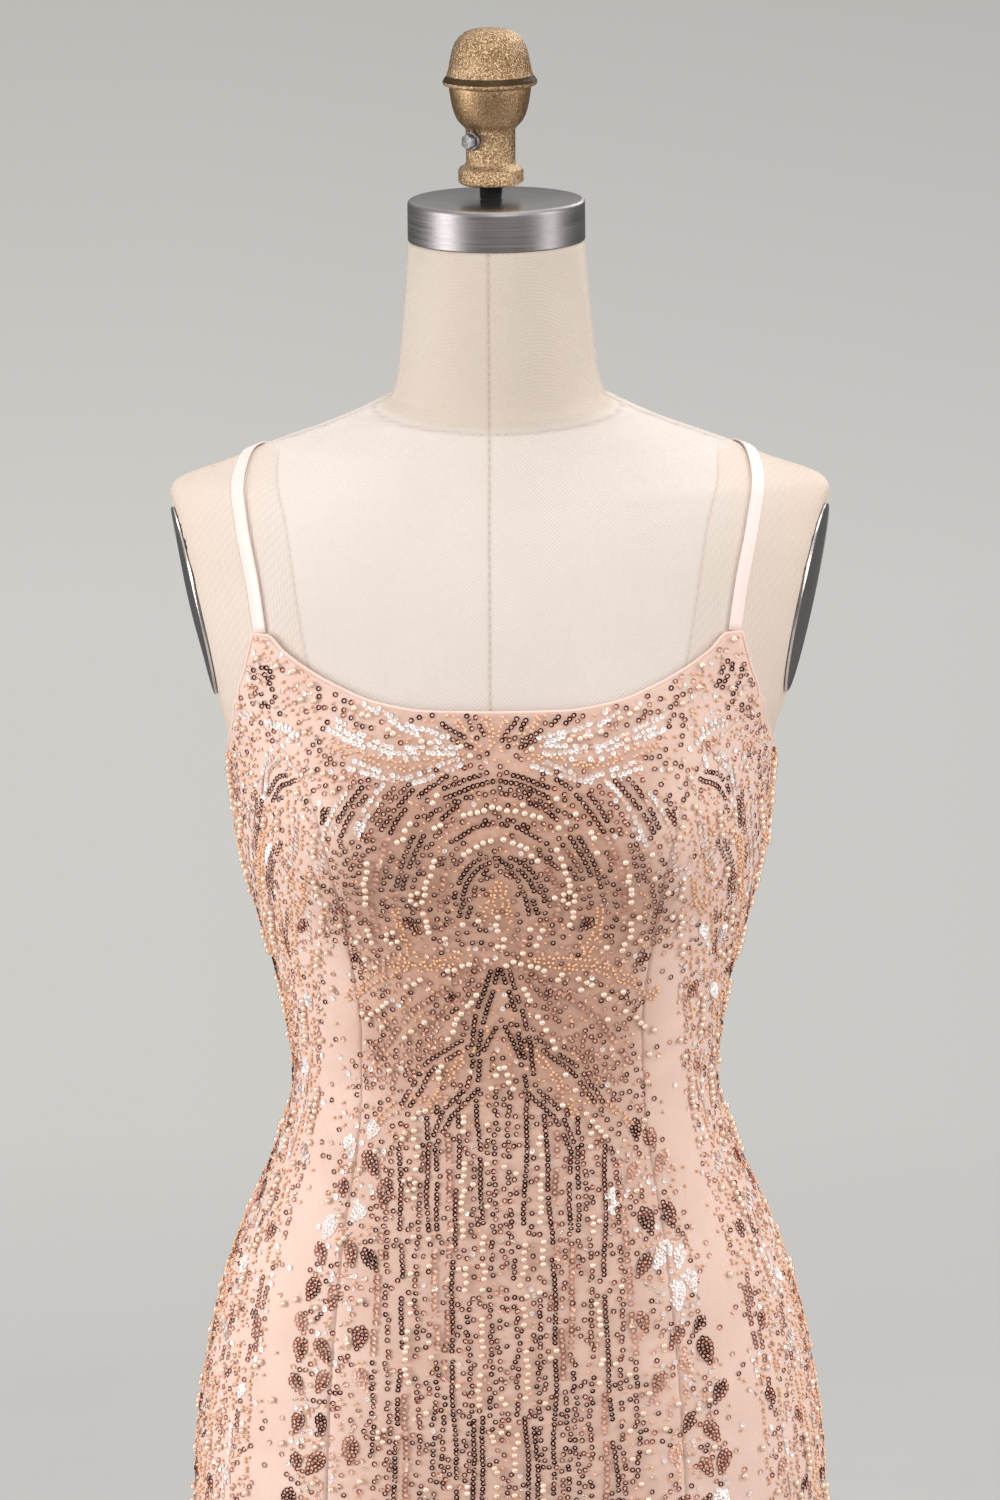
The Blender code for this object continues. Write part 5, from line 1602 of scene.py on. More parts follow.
def model_sequin(hole, cup):
    bpy.ops.mesh.primitive_circle_add(vertices=SEQUIN_SIDES, radius=SEQUIN_RADIUS * MM,
                                      fill_type="NOTHING")
    sequin = bpy.context.object
    edit_all(sequin)
    bpy.ops.mesh.extrude_region_move(TRANSFORM_OT_translate={"value": (0, 0, -cup * MM)})
    narrow = hole / SEQUIN_RADIUS
    bpy.ops.transform.resize(value=(narrow, narrow, 1), center_override=(0, 0, 0))
    bpy.ops.object.mode_set(mode="OBJECT")
    return as_pattern(sequin, (hole, SEQUIN_RADIUS))


def model_round_bead(radius, subdivisions, flatten=1.0):
    bpy.ops.mesh.primitive_ico_sphere_add(subdivisions=subdivisions, radius=radius * MM)
    bead = bpy.context.object
    edit_all(bead)
    bpy.ops.transform.resize(value=(flatten, 1, 1), center_override=(0, 0, 0))
    bpy.ops.object.mode_set(mode="OBJECT")
    return as_pattern(bead)


def model_bugle():
    bpy.ops.mesh.primitive_cylinder_add(vertices=5, radius=BUGLE_RADIUS * MM, depth=BUGLE_LONG * MM,
                                        rotation=(0, pi / 2, 0))
    bpy.ops.object.transform_apply(rotation=True)
    return as_pattern(bpy.context.object)


# kind: the pattern, how far it stands off the cloth, how near another may lie
KINDS = {"sequin": (model_sequin(SEQUIN_HOLE, SEQUIN_CUP), 0.68, 1.5),
         "spangle": (model_sequin(SPANGLE_HOLE, SPANGLE_CUP), 0.62, 1.45),
         "pearl": (model_round_bead(PEARL_RADIUS, 2), 1.5, 1.75),
         "seed": (model_round_bead(SEED_RADIUS, 1, SEED_FLAT), 0.95, 1.05),
         "bugle": (model_bugle(), 0.5, 1.2)}
print({kind: len(pattern[1]) for kind, (pattern, _, _) in KINDS.items()}, "triangles each")

# %% [markdown]
# ## Sewing them on
# A place on the dress is two numbers: the distance from a centre line and the height. The front and the
# back each have their own centre line, and everything is sewn twice, once on each side of it, as a beader
# works from a folded paper pattern. A little unevenness is added afterwards. A register of small squares
# remembers what is already sewn, so that loose beads fill only free net.

# %% The register of sewn beads
chance = np.random.default_rng(11)
sewn = {kind: [] for kind in KINDS}
register = {}
SQUARE = 4.0
EDGE_ROOM, SEAM_ROOM, HEM_ROOM = 1.7, 0.6, 2.5  # how far beads keep off each
EDGE_DISTANCES = np.maximum.accumulate(TOP_EDGE[:, 0])


def report_sewn():
    print({kind: len(found) for kind, found in sewn.items()})


def cloth_top(girth):
    """The top edge's height, read a little to each side so that beads keep off the armhole's edge too."""
    away = abs(girth)
    return min(np.interp(away + beside, EDGE_DISTANCES, TOP_EDGE[:, 1])
               for beside in (-EDGE_ROOM, 0, EDGE_ROOM))


def girth_on(face, side, across, height):
    """Distance round from the centre front for a place on the front or the back."""
    if face == "front":
        return side * across
    return side * (float(dressed.half_girth(height)) - across)


def is_free(girth, height, reach):
    column, row = int(girth // SQUARE), int(height // SQUARE)
    for i in (column - 1, column, column + 1):
        for j in (row - 1, row, row + 1):
            for other_girth, other_height, other_reach in register.get((i, j), ()):
                near = reach + other_reach
                if (girth - other_girth) ** 2 + (height - other_height) ** 2 < near * near:
                    return False
    return True


def on_cloth(girth, height):
    if not HEM + HEM_ROOM < height < cloth_top(girth) - EDGE_ROOM:
        return False
    away = abs(girth)
    seams = (front_seam(height), side_seam(height), back_seam(height), centre_back(height))
    return all(abs(away - float(seam)) > SEAM_ROOM for seam in seams)


def sew(kind, girth, height, turn=0.0, tone=0.5, lean=0.0, size=1.0):
    """Sews one bead. turn is its row's direction, tone its shade, lean how far it tips along the row."""
    sewn[kind].append((girth, height, turn, tone, lean, size))
    reach = KINDS[kind][2] * size
    register.setdefault((int(girth // SQUARE), int(height // SQUARE)), []).append((girth, height, reach))


# %% Rows of beads
# Flash rows are spangles of high tone, painted near white: pale spangles with painted flashes of light.
# what a row is made of: bead, distance along, distance between rows, unevenness, tip along the row
ROW_KINDS = {"chain": ("sequin", 2.85, 4.8, 0.14, 0.1), "rings": ("sequin", 3.7, 4.2, 0.65, 0.0),
             "cups": ("sequin", 3.2, 4.6, 0.2, 0.3), "flash": ("spangle", 2.8, 3.3, 0.2, 0.1),
             "pearls": ("pearl", 4.3, 4.6, 0.5, 0.0), "seeds": ("seed", 2.6, 2.8, 0.5, 0.0)}
PEARL_STROKE, PEARL_GAP, STROKE_GAP = (8, 30), (5, 16), (2.0, 6.0)
SINGLE_SHARE = 0.2  # how many of the doubled chains are sewn as one
CUP_SIZE = 1.28  # a row of cups is made of sequins this much larger
WANDER, WANDER_LONG = 0.55, 8.5  # how far a row strays sideways, and over what length
SKIPPED = 0.03  # the share of beads left out of a row
ROW_STRAY, ROW_START, LATER_START = 0.2, 1.5, 5  # how far off a row lies, and how late rows start
PITCH_SPREAD, CENTRE_ROOM, ROW_ROOM = (0.94, 1.08), 0.4, 0.72
TONE_SPREAD, OTHER_TONE_SPREAD = {"flash": 0.16, "chain": 0.05}, 0.09
PATH_POINTS, PATH_SMOOTHINGS = 120, 60


def smooth_path(anchors):
    """Many points on a soft curve through two or more anchors."""
    anchors = np.asarray(anchors, float)
    along = length_along(anchors)
    fine = np.linspace(0, along[-1], PATH_POINTS)
    knots = np.stack([np.interp(fine, along, anchors[:, axis]) for axis in (0, 1)], axis=1)
    for _ in range(PATH_SMOOTHINGS):
        knots[1:-1] = (knots[:-2] + 2 * knots[1:-1] + knots[2:]) / 4
    return knots


def sew_row(row_kind, anchors, face="front", rows=1, tone=0.3, broken=None):
    """One to three parallel rows along a curve, on both sides of the centre line. broken is (shortest,
    longest) of the strokes that the row is broken into."""
    bead, pitch, gap, uneven, lean = ROW_KINDS[row_kind]
    rest, spread = STROKE_GAP, TONE_SPREAD.get(row_kind, OTHER_TONE_SPREAD)
    if bead == "pearl":
        broken, rest = PEARL_STROKE, PEARL_GAP
    if row_kind == "chain" and rows > 1 and chance.random() < SINGLE_SHARE:
        rows -= 1
    path = smooth_path(anchors)
    ahead = np.gradient(path, axis=0)
    ahead /= np.maximum(np.linalg.norm(ahead, axis=1, keepdims=True), 1e-6)
    beside = np.stack([-ahead[:, 1], ahead[:, 0]], axis=1)
    along = length_along(path)
    found = []
    for side in (1, -1):
        flip = side if face == "front" else -side
        for row in range(rows):
            offset = (row - (rows - 1) / 2) * gap + chance.normal(0, ROW_STRAY)
            place = pitch * 0.5 * (row % 2) + chance.uniform(0, ROW_START + LATER_START * row)
            phase = chance.uniform(0, 2 * pi)
            stroke_end = place + chance.uniform(*broken) if broken else along[-1]
            while place < along[-1]:
                if place > stroke_end:
                    place += chance.uniform(*rest)
                    stroke_end = place + chance.uniform(*broken)
                    continue
                stray = offset + WANDER * sin(place / WANDER_LONG + phase)
                across, height = (np.interp(place, along, path[:, axis] + stray * beside[:, axis])
                                  for axis in (0, 1))
                way = [np.interp(place, along, ahead[:, axis]) for axis in (0, 1)]
                across, height = across + chance.normal(0, uneven), height + chance.normal(0, uneven)
                girth = girth_on(face, side, across, height)
                turn = float(np.arctan2(way[1], flip * way[0])) if lean else chance.uniform(0, pi)
                kept = across > CENTRE_ROOM and chance.random() > SKIPPED
                if kept and on_cloth(girth, height) and is_free(girth, height, KINDS[bead][2] * ROW_ROOM):
                    shade = float(np.clip(tone + chance.normal(0, spread), 0, 1))
                    found.append((girth, height, turn, shade))
                place += pitch * chance.uniform(*PITCH_SPREAD)
    size = CUP_SIZE if row_kind == "cups" else 1.0
    for girth, height, turn, shade in found:
        sew(bead, girth, height, turn, shade, lean, size)


print("row kinds:", sorted(ROW_KINDS))

# %% [markdown]
# ## The beaded pattern
# The pattern is an ordinary evening-dress one, worked out by rule: a fan at the neckline, arches over the
# bust, sprays that open downwards from points on the centre line, chains that run down the skirt, and
# leaves and small flowers between them. Each table row is one line of beads on the left half, and sewing
# mirrors it. Rows are broken into short strokes, as hand work is.

# %% Fan, arches and sprays
FAN_HEIGHT = 1199
# degrees above level, start, length, bend, kind, rows, tone
FAN = ((-2, 20, 62, -10, "flash", 2, 0.9), (5, 18, 78, -9, "seeds", 2, 0.6),
       (11, 22, 74, -8, "flash", 3, 1.0), (19, 20, 66, -6, "pearls", 1, 0.5),
       (24, 24, 60, -5, "flash", 2, 0.95), (33, 15, 40, -3, "chain", 2, 0.1),
       (45, 12, 28, -2, "seeds", 2, 0.5), (60, 9, 24, -1, "chain", 2, 0.08),
       (78, 5, 20, 0, "seeds", 2, 0.6))
ARCH_HEIGHT = 1116
# half width, rise, from and to in degrees above level, kind, rows, tone
ARCHES = ((15, 18, 80, 12, "rings", 1, 0.2), (23, 28, 78, 2, "chain", 2, 0.06),
          (32, 39, 84, 40, "pearls", 1, 0.5), (33, 39, 34, -18, "cups", 1, 0.5),
          (42, 50, 82, 46, "chain", 2, 0.05), (42, 50, 34, -24, "pearls", 1, 0.5),
          (49, 58, 84, 10, "rings", 1, 0.15), (56, 66, 78, 48, "chain", 2, 0.05),
          (56, 66, 40, 8, "chain", 2, 0.1),
          (57, 66, -2, -32, "seeds", 2, 0.4), (64, 74, 70, 30, "pearls", 1, 0.6),
          (66, 76, 24, -10, "rings", 1, 0.2), (71, 80, 30, -14, "cups", 1, 0.6),
          (74, 84, 76, 30, "chain", 2, 0.07), (75, 86, 18, -26, "pearls", 1, 0.5),
          (82, 92, 62, 6, "rings", 2, 0.25), (88, 97, 56, 20, "flash", 2, 0.92),
          (90, 96, 8, -30, "rings", 2, 0.3), (98, 102, 48, 24, "chain", 2, 0.1),
          (104, 106, 40, 8, "flash", 2, 0.8))
# apex height, then degrees from straight down, start, length, bend, kind, rows, tone
SPRAYS = ((1152, 24, 6, 44, 4, "chain", 2, 0.05), (1152, 42, 9, 46, 7, "pearls", 1, 0.5),
          (1152, 60, 14, 40, 9, "rings", 2, 0.2), (1140, 11, 9, 28, 0, "seeds", 2, 0.35),
          (1085, 13, 7, 60, 2, "chain", 2, 0.04), (1085, 25, 12, 74, 4, "pearls", 1, 0.5),
          (1085, 34, 16, 84, 6, "rings", 2, 0.36), (1085, 46, 12, 92, 8, "cups", 1, 0.5),
          (1085, 58, 9, 90, 10, "pearls", 1, 0.55), (1085, 70, 15, 82, 10, "seeds", 3, 0.5),
          (1085, 80, 18, 60, 10, "rings", 2, 0.58), (1054, 18, 15, 40, 3, "chain", 2, 0.05),
          (1052, 31, 24, 56, 4, "seeds", 2, 0.45), (1050, 42, 26, 58, 6, "chain", 2, 0.12),
          (1050, 54, 30, 56, 6, "rings", 2, 0.45), (1024, 14, 9, 26, 0, "pearls", 1, 0.5),
          (1024, 34, 26, 46, 4, "chain", 2, 0.08), (1020, 48, 40, 40, 5, "pearls", 1, 0.5),
          (1018, 60, 48, 38, 5, "seeds", 2, 0.5))
# height at the centre, half width, fall, kind, rows, tone
ROOF = ((1190, 30, 9, "chain", 2, 0.03), (1181, 46, 15, "rings", 1, 0.15),
        (1173, 36, 12, "pearls", 1, 0.5), (1164, 26, 10, "chain", 1, 0.06))
# girth, height, degrees above level, length, bend, kind, rows, tone: short strokes under the arms
UNDERARM_STROKES = ((112, 1206, 18, 26, 3, "flash", 2, 0.95), (118, 1186, -34, 30, 4, "chain", 2, 0.1),
                    (130, 1196, -52, 34, 5, "flash", 2, 0.9), (142, 1180, -66, 36, 5, "chain", 2, 0.15),
                    (120, 1160, -70, 34, -4, "flash", 2, 0.8), (136, 1146, -78, 40, 4, "chain", 2, 0.2),
                    (150, 1150, -82, 44, 3, "seeds", 3, 0.5), (162, 1160, -84, 50, 3, "flash", 1, 0.85),
                    (114, 1128, -74, 30, -3, "seeds", 2, 0.5), (130, 1100, -86, 30, 2, "chain", 2, 0.3),
                    (126, 1230, 66, 20, 0, "rings", 2, 0.05), (134, 1222, 70, 26, 0, "rings", 1, 0.1))


# the shortest and longest strokes that lines are broken into
FAN_STROKE, ARCH_STROKE, SPRAY_STROKE = (12, 34), (18, 46), (16, 44)
CENTRE_PEARLS = np.arange(1108, 1084, -4.6)
BACK_DROP, BACK_TONE = 56, 0.05


def heading(degrees):
    return np.array((cos(radians(degrees)), sin(radians(degrees))))


def bent_line(start, way, length, bend):
    """A start, a middle pushed sideways and an end."""
    start, way = np.asarray(start, float), np.asarray(way, float)
    return [start, start + way * length / 2 + np.array((-way[1], way[0])) * bend, start + way * length]


def sew_centre_pattern(face, drop, tone_shift):
    """The fan, arches, roof rows and sprays. drop lowers them, for the lower neckline of the back."""
    for degrees, start, length, bend, kind, rows, tone in FAN:
        way = heading(degrees)
        line = bent_line(np.array((0.0, FAN_HEIGHT - drop)) + way * start, way, length, bend)
        sew_row(kind, line, face, rows, tone, FAN_STROKE)
    for rise, half, fall, kind, rows, tone in ROOF:
        line = [(1.6, rise - drop), (half * 0.5, rise - drop - fall * 0.3), (half, rise - drop - fall)]
        sew_row(kind, line, face, rows, tone + tone_shift)
    for half, rise, high, low, kind, rows, tone in ARCHES:
        angles = np.radians(np.linspace(high, low, 9))
        line = [(half * cos(a), ARCH_HEIGHT - drop + rise * sin(a)) for a in angles]
        sew_row(kind, line, face, rows, tone + tone_shift, ARCH_STROKE)
    for apex, degrees, start, length, bend, kind, rows, tone in SPRAYS:
        way = np.array((sin(radians(degrees)), -cos(radians(degrees))))
        line = bent_line(np.array((0.0, apex - drop)) + way * start, way, length, bend)
        sew_row(kind, line, face, rows, tone + tone_shift, SPRAY_STROKE)
    for height in CENTRE_PEARLS:
        sew_row("pearls", [(0.9, height - drop), (1.6, height - drop - 0.5)], face)


sew_centre_pattern("front", 0, 0.0)
sew_centre_pattern("back", BACK_DROP, BACK_TONE)
for across, height, degrees, length, bend, kind, rows, tone in UNDERARM_STROKES:
    sew_row(kind, bent_line((across, height), heading(degrees), length, bend), "front", rows, tone)
report_sewn()

# %% Chains down the skirt
# across at the top, height at the top, kind, rows, tone
CHAINS = ((5.5, 1000, "rings", 1, 0.1), (12.5, 1006, "chain", 2, 0.04), (20, 1002, "pearls", 1, 0.5),
          (26, 996, "chain", 1, 0.05), (31, 996, "cups", 1, 0.5), (38, 990, "chain", 2, 0.05),
          (46, 982, "rings", 1, 0.15), (51, 974, "pearls", 1, 0.5), (57, 964, "chain", 1, 0.08),
          (63, 964, "rings", 1, 0.2), (69, 950, "cups", 1, 0.55))
CHAIN_WIDENS = 0.22  # how far the chains spread from the waist to the hem
CHAIN_ON, CHAIN_OFF, CHAIN_STROKE = (44, 100), (3, 12), (30, 80)
CHAIN_KEEPS = 0.72  # how many lengths keep their chain's own kind
OTHER_CHAINS = ("pearls", "rings", "cups", "chain")
CUP_TONE, OTHER_TONE = 0.55, 0.08
LAST_START, LAST_END = HEM + 8, HEM + 4  # where chains and streams stop above the hem
BACK_CHAIN_DROP = 22


def chain_across(across, top, height, number):
    """A chain's distance from the centre line at a height: it sways and spreads over the hips."""
    sway = 2.0 * sin(height / 41 + 1.9 * number)
    return across * (1 + CHAIN_WIDENS * (top - height) / (top - HEM)) + sway


def sew_chains(face, drop):
    for number, (across, top, kind, rows, tone) in enumerate(CHAINS):
        height = top - drop
        while height > LAST_START:
            low = max(height - chance.uniform(*CHAIN_ON), LAST_END)
            first = height > top - drop - 1
            keeps = first or chance.random() < CHAIN_KEEPS
            now = kind if keeps else OTHER_CHAINS[chance.integers(len(OTHER_CHAINS))]
            many, shade = rows, tone
            if now != kind:
                many, shade = 1, CUP_TONE if now == "cups" else OTHER_TONE
            line = [(chain_across(across, top - drop, step, number), step)
                    for step in np.linspace(height, low, 6)]
            sew_row(now, line, face, many, shade, CHAIN_STROKE)
            height = low - chance.uniform(*CHAIN_OFF)


sew_chains("front", 0)
sew_chains("back", BACK_CHAIN_DROP)
report_sewn()

# %% [markdown]
# ## Leaves, flowers and streams
# A leaf is a pointed oval filled with overlapping sequins, row upon row, all tipped the same way like
# roof tiles. A flower is six pearls round one sequin. Leaves gather in a ragged band beside a strip of
# bare cloth. Outside the strip, streams of beads follow the figure down the sides.

# %% Leaves and flowers
# Leaves above FLASH_TONE are spangles painted near white: pale spangles with painted flashes of light.
LEAF_ALONG, LEAF_BESIDE, LEAF_DROOP, FLASH_TONE = 2.2, 2.4, 0.3, 0.85
LEAF_TIP, LEAF_ROOM, LEAF_STRAY = 0.4, 0.35, 0.1
LEAF_PLACE_STRAY, LEAF_LEANS, LEAF_LEAN_STRAY, LEAF_GROWTH = (3.2, 4), (-22, 26), 10, (0.8, 1.15)
PETALS, PETAL_REACH, PETAL_TURN, PETAL_SIZE, FLOWER_STRAY = 6, 3.7, 0.4, 0.92, 3
FLOWER_ROOM, PETAL_ROOM = 2.0, 0.9
LEAF_TONES = (0.08, 0.14, 0.2, 0.26, 0.32, 0.38, 0.46, 0.66, 0.95, 1.0)


def sew_leaf(face, side, across, height, long, wide, lean_degrees, tone):
    """Sequins in a pointed oval, with a fuller lower end."""
    lean = radians(lean_degrees)
    middle = girth_on(face, side, across, height)
    flip = side if face == "front" else -side
    if not on_cloth(middle, height):
        return
    kind = "spangle" if tone > FLASH_TONE else "sequin"
    rows = int((long - 2 * SEQUIN_RADIUS) / LEAF_ALONG)
    for row in range(rows + 1):
        share = row / rows
        half = max(wide / 2 - SEQUIN_RADIUS, 0.1) * sin(pi * share ** 1.25) ** 0.75
        lanes = 1 + int(round(2 * half / LEAF_BESIDE))
        for beside in np.linspace(-half, half, lanes) if lanes > 1 else (0.0,):
            along = (share - 0.5) * rows * LEAF_ALONG + LEAF_DROOP * abs(beside)
            over = flip * (along * sin(lean) + beside * cos(lean)) + chance.normal(0, LEAF_STRAY)
            up = along * cos(lean) - beside * sin(lean) + chance.normal(0, LEAF_STRAY)
            girth, at_height = middle + over, height + up
            if on_cloth(girth, at_height) and is_free(girth, at_height, LEAF_ROOM):
                shade = float(np.clip(tone + 0.03 * beside + chance.normal(0, 0.05), 0, 1))
                sew(kind, girth, at_height, pi / 2 - flip * lean, shade, LEAF_TIP)


def sew_flower(face, across, height):
    for side in (1, -1):
        at = height + chance.normal(0, FLOWER_STRAY)
        middle = girth_on(face, side, across + chance.normal(0, FLOWER_STRAY), at)
        if not (on_cloth(middle, at) and is_free(middle, at, FLOWER_ROOM)):
            continue
        sew("sequin", middle, at, 0.0, 0.3)
        for petal in range(PETALS):
            angle = 2 * pi * petal / PETALS + PETAL_TURN
            girth, at_height = middle + PETAL_REACH * cos(angle), at + PETAL_REACH * sin(angle)
            if on_cloth(girth, at_height) and is_free(girth, at_height, PETAL_ROOM):
                sew("pearl", girth, at_height, angle, 0.5, size=PETAL_SIZE)


BARE_STRIP = ((560, 158), (700, 148), (760, 143), (815, 137), (875, 128), (935, 113), (995, 99),
              (1050, 94), (1100, 97), (1130, 104))  # height, distance round
BACK_STRIP_SHARE = 0.92
bare_strip = curve_of(BARE_STRIP)
# how far inside the strip, highest, lowest, step, length, width: columns of leaves
LEAF_BAND = ((17, 962, 572, 21, 17, 9.4), (31, 972, 575, 25, 18, 9.8), (48, 930, 580, 36, 17, 9.4))
# distance round, highest, lowest, step, length, width: leaves outside it
SIDE_LEAVES = ((22, 1090, 575, 47, 14, 7.6), (44, 1130, 575, 43, 15, 8), (68, 1060, 580, 45, 14, 8),
               (88, 1020, 575, 50, 15, 8))
# across, height, length, width, lean: leaves between the arches
BODICE_LEAVES = ((50, 1100, 13, 7.5, 44), (84, 1078, 13, 7.5, 54), (96, 1166, 12, 7.5, -30),
                 (30, 1058, 12, 7, 30))
BODICE_LEAF_TONE = 0.1
FLOWERS = ((41, 1120), (66, 1096), (28, 1062), (52, 940), (70, 896), (48, 850), (68, 796), (50, 742),
           (74, 690), (46, 640), (78, 598))
BACK_LOWER = 30

for across, height, long, wide, lean in BODICE_LEAVES:
    for side in (1, -1):
        over, up = across + chance.normal(0, 1.5), height + chance.normal(0, 1.5)
        sew_leaf("front", side, over, up, long, wide, lean, BODICE_LEAF_TONE)
for face, share, lower in (("front", 1.0, 0), ("back", BACK_STRIP_SHARE, BACK_LOWER)):
    for across, height in FLOWERS:
        sew_flower(face, across, height - lower)
    for columns, outward in ((LEAF_BAND, -1), (SIDE_LEAVES, 1)):
        for away, high, low, step, long, wide in columns:
            for count, height in enumerate(np.arange(high - lower, low, -step)):
                for side in (1, -1):
                    at = height + chance.normal(0, LEAF_PLACE_STRAY[1])
                    across = float(bare_strip(at)) * share + outward * away
                    across += chance.normal(0, LEAF_PLACE_STRAY[0])
                    lean = LEAF_LEANS[count % 2] + chance.normal(0, LEAF_LEAN_STRAY)
                    tone = LEAF_TONES[chance.integers(len(LEAF_TONES))]
                    grow = chance.uniform(*LEAF_GROWTH)
                    sew_leaf(face, side, across, at, long * grow, wide * grow, lean, tone)
report_sewn()

# %% Streams down the sides
STREAMS, STREAM_STEP, STREAM_FIRST = 22, 7.6, 15
STREAM_ON, STREAM_OFF, STREAM_STROKE, STREAM_START = (16, 60), (3, 16), (10, 30), (0, 40)
STREAM_NARROW, NARROW_FROM, NARROW_OVER = 16, 1060, 100  # streams draw in towards the bust
STREAM_TONES = {"chain": 0.34, "flash": 0.9}
STREAM_KINDS = ("seeds", "rings", "pearls", "seeds", "rings", "chain", "seeds", "flash")


def sew_streams(face, share, top):
    """Broken wavy lines of beads outside the bare strip, as far as the side seam."""
    for number in range(STREAMS):
        height = top - chance.uniform(*STREAM_START)
        while height > LAST_START:
            low = max(height - chance.uniform(*STREAM_ON), LAST_END)
            line = []
            for step in np.linspace(height, low, 5):
                bodice = max(0.0, (step - NARROW_FROM) / NARROW_OVER)
                across = (float(bare_strip(step)) * share + STREAM_FIRST + STREAM_STEP * number
                          - STREAM_NARROW * min(bodice, 1) + 2.2 * sin(step / 31 + 2.1 * number))
                line.append((across, step))
            half, seam = float(dressed.half_girth(height)), float(side_seam(height))
            limit = seam if face == "front" else half - seam
            if line[0][0] < limit:
                kind = STREAM_KINDS[chance.integers(len(STREAM_KINDS))]
                sew_row(kind, line, face, 1, STREAM_TONES.get(kind, 0.5), STREAM_STROKE)
            height = low - chance.uniform(*STREAM_OFF)


sew_streams("front", 1.0, 1190)
sew_streams("back", BACK_STRIP_SHARE, 1160)
report_sewn()

# %% [markdown]
# ## Loose beads between the lines
# The rest of the net carries loose beads. How many there are changes over the dress: thick in the middle
# of the bodice and down the sides, thin in two upright strips beside the front panel where the bare cloth
# shows, and open between the chains and the leaves lower down. Places come from a jittered grid, and each
# is kept by chance and only if it is free.

# %% Loose beads
STRIP_HALF, STRIP_TOP = 12, 1082
# Loose spangles are given a near-white tone: pale spangles with painted flashes of light.
LOOSE_STEP, LOOSE_JITTER, LEAST_LOOSE_TONE, LOOSE_SPANGLE_TONE = 3.1, 1.2, 0.07, 0.95
LOOSE_KINDS = ("sequin", "seed", "pearl", "spangle", "bugle")
# zone: chance of a bead, shares of sequins, seeds, pearls and spangles, shade, spread of shade
LOOSE = {"bodice": (0.72, (0.66, 0.18, 0.10, 0.03), 0.03, 0.24),
         "spray": (0.72, (0.68, 0.15, 0.12, 0.03), 0.06, 0.36),
         "skirt": (0.64, (0.78, 0.08, 0.09, 0.02), 0.02, 0.18),
         "open": (0.26, (0.62, 0.18, 0.12, 0.03), 0.12, 0.28),
         "band": (0.72, (0.42, 0.30, 0.07, 0.15), 0.3, 0.3),
         "side": (0.64, (0.42, 0.34, 0.08, 0.08), 0.42, 0.26),
         "strip": (0.07, (0.5, 0.3, 0.1, 0.1), 0.4, 0.2)}
OPEN_TOP, OPEN_FROM, BAND_WIDE, BAND_TOP = 900, 47, 44, 975
SPRAY_LOW, BODICE_LOW, LOOSE_TOP = 1000, 1090, 1262


def bead_zone(face, across, height):
    """Which part of the pattern a place belongs to."""
    strip = float(bare_strip(height)) * (1.0 if face == "front" else BACK_STRIP_SHARE)
    ragged = 3.0 * sin(height / 9.0) + 2.2 * sin(height / 4.1 + 2)
    if height < STRIP_TOP and abs(across - strip + ragged * 0.4) < STRIP_HALF + 0.5 * ragged:
        return "strip"
    if across > strip:
        return "side"
    lower = 0 if face == "front" else BACK_LOWER
    if height > SPRAY_LOW - lower:
        return "bodice" if height > BODICE_LOW - lower else "spray"
    if across > strip - BAND_WIDE + ragged and height < BAND_TOP:
        return "band"
    return "open" if height < OPEN_TOP and across > OPEN_FROM + ragged else "skirt"


def strew_loose_beads():
    for height in np.arange(HEM + 3, LOOSE_TOP, LOOSE_STEP):
        half, seam = float(dressed.half_girth(height)), float(side_seam(height))
        for place in np.arange(0.5 * LOOSE_STEP, half, LOOSE_STEP):
            for side in (1, -1):
                girth = side * (place + chance.uniform(-LOOSE_JITTER, LOOSE_JITTER))
                at_height = height + chance.uniform(-LOOSE_JITTER, LOOSE_JITTER)
                face, across = ("front", place) if place < seam else ("back", half - place)
                likely, shares, tone, spread = LOOSE[bead_zone(face, across, at_height)]
                wave = sin(girth / 5.7 + 3 * sin(at_height / 21)) * sin(at_height / 12.5 + girth / 40)
                clump = 0.5 + 0.5 * wave
                if chance.random() > likely * (0.68 + 0.64 * clump):
                    continue
                kind = LOOSE_KINDS[int(np.searchsorted(np.cumsum(shares), chance.random()))]
                if on_cloth(girth, at_height) and is_free(girth, at_height, KINDS[kind][2]):
                    shade = float(np.clip(LEAST_LOOSE_TONE + abs(chance.normal(tone, spread)), 0, 1))
                    shade = LOOSE_SPANGLE_TONE if kind == "spangle" else shade
                    sew(kind, girth, at_height, chance.uniform(0, pi), shade)


strew_loose_beads()
report_sewn()

# %% [markdown]
# ## From places to meshes
# All copies of one kind in one region are joined into one mesh. For each place the surface gives a point
# and a direction outward, and the bead's own directions are worked out from them with array arithmetic.
# Every point keeps its bead's shade, so one material can colour them all.

# %% Joining the copies
REGIONS = ("front", "left", "right", "back")
TIP = {"sequin": 0.2, "spangle": 0.12, "pearl": 0.0, "seed": 0.1, "bugle": 0.08}  # as slopes


def region_of(girth, height):
    away = np.abs(girth)
    region = np.where(girth > 0, 1, 2)
    region = np.where(away < front_seam(height), 0, region)
    return np.where(away > back_seam(height), 3, region)


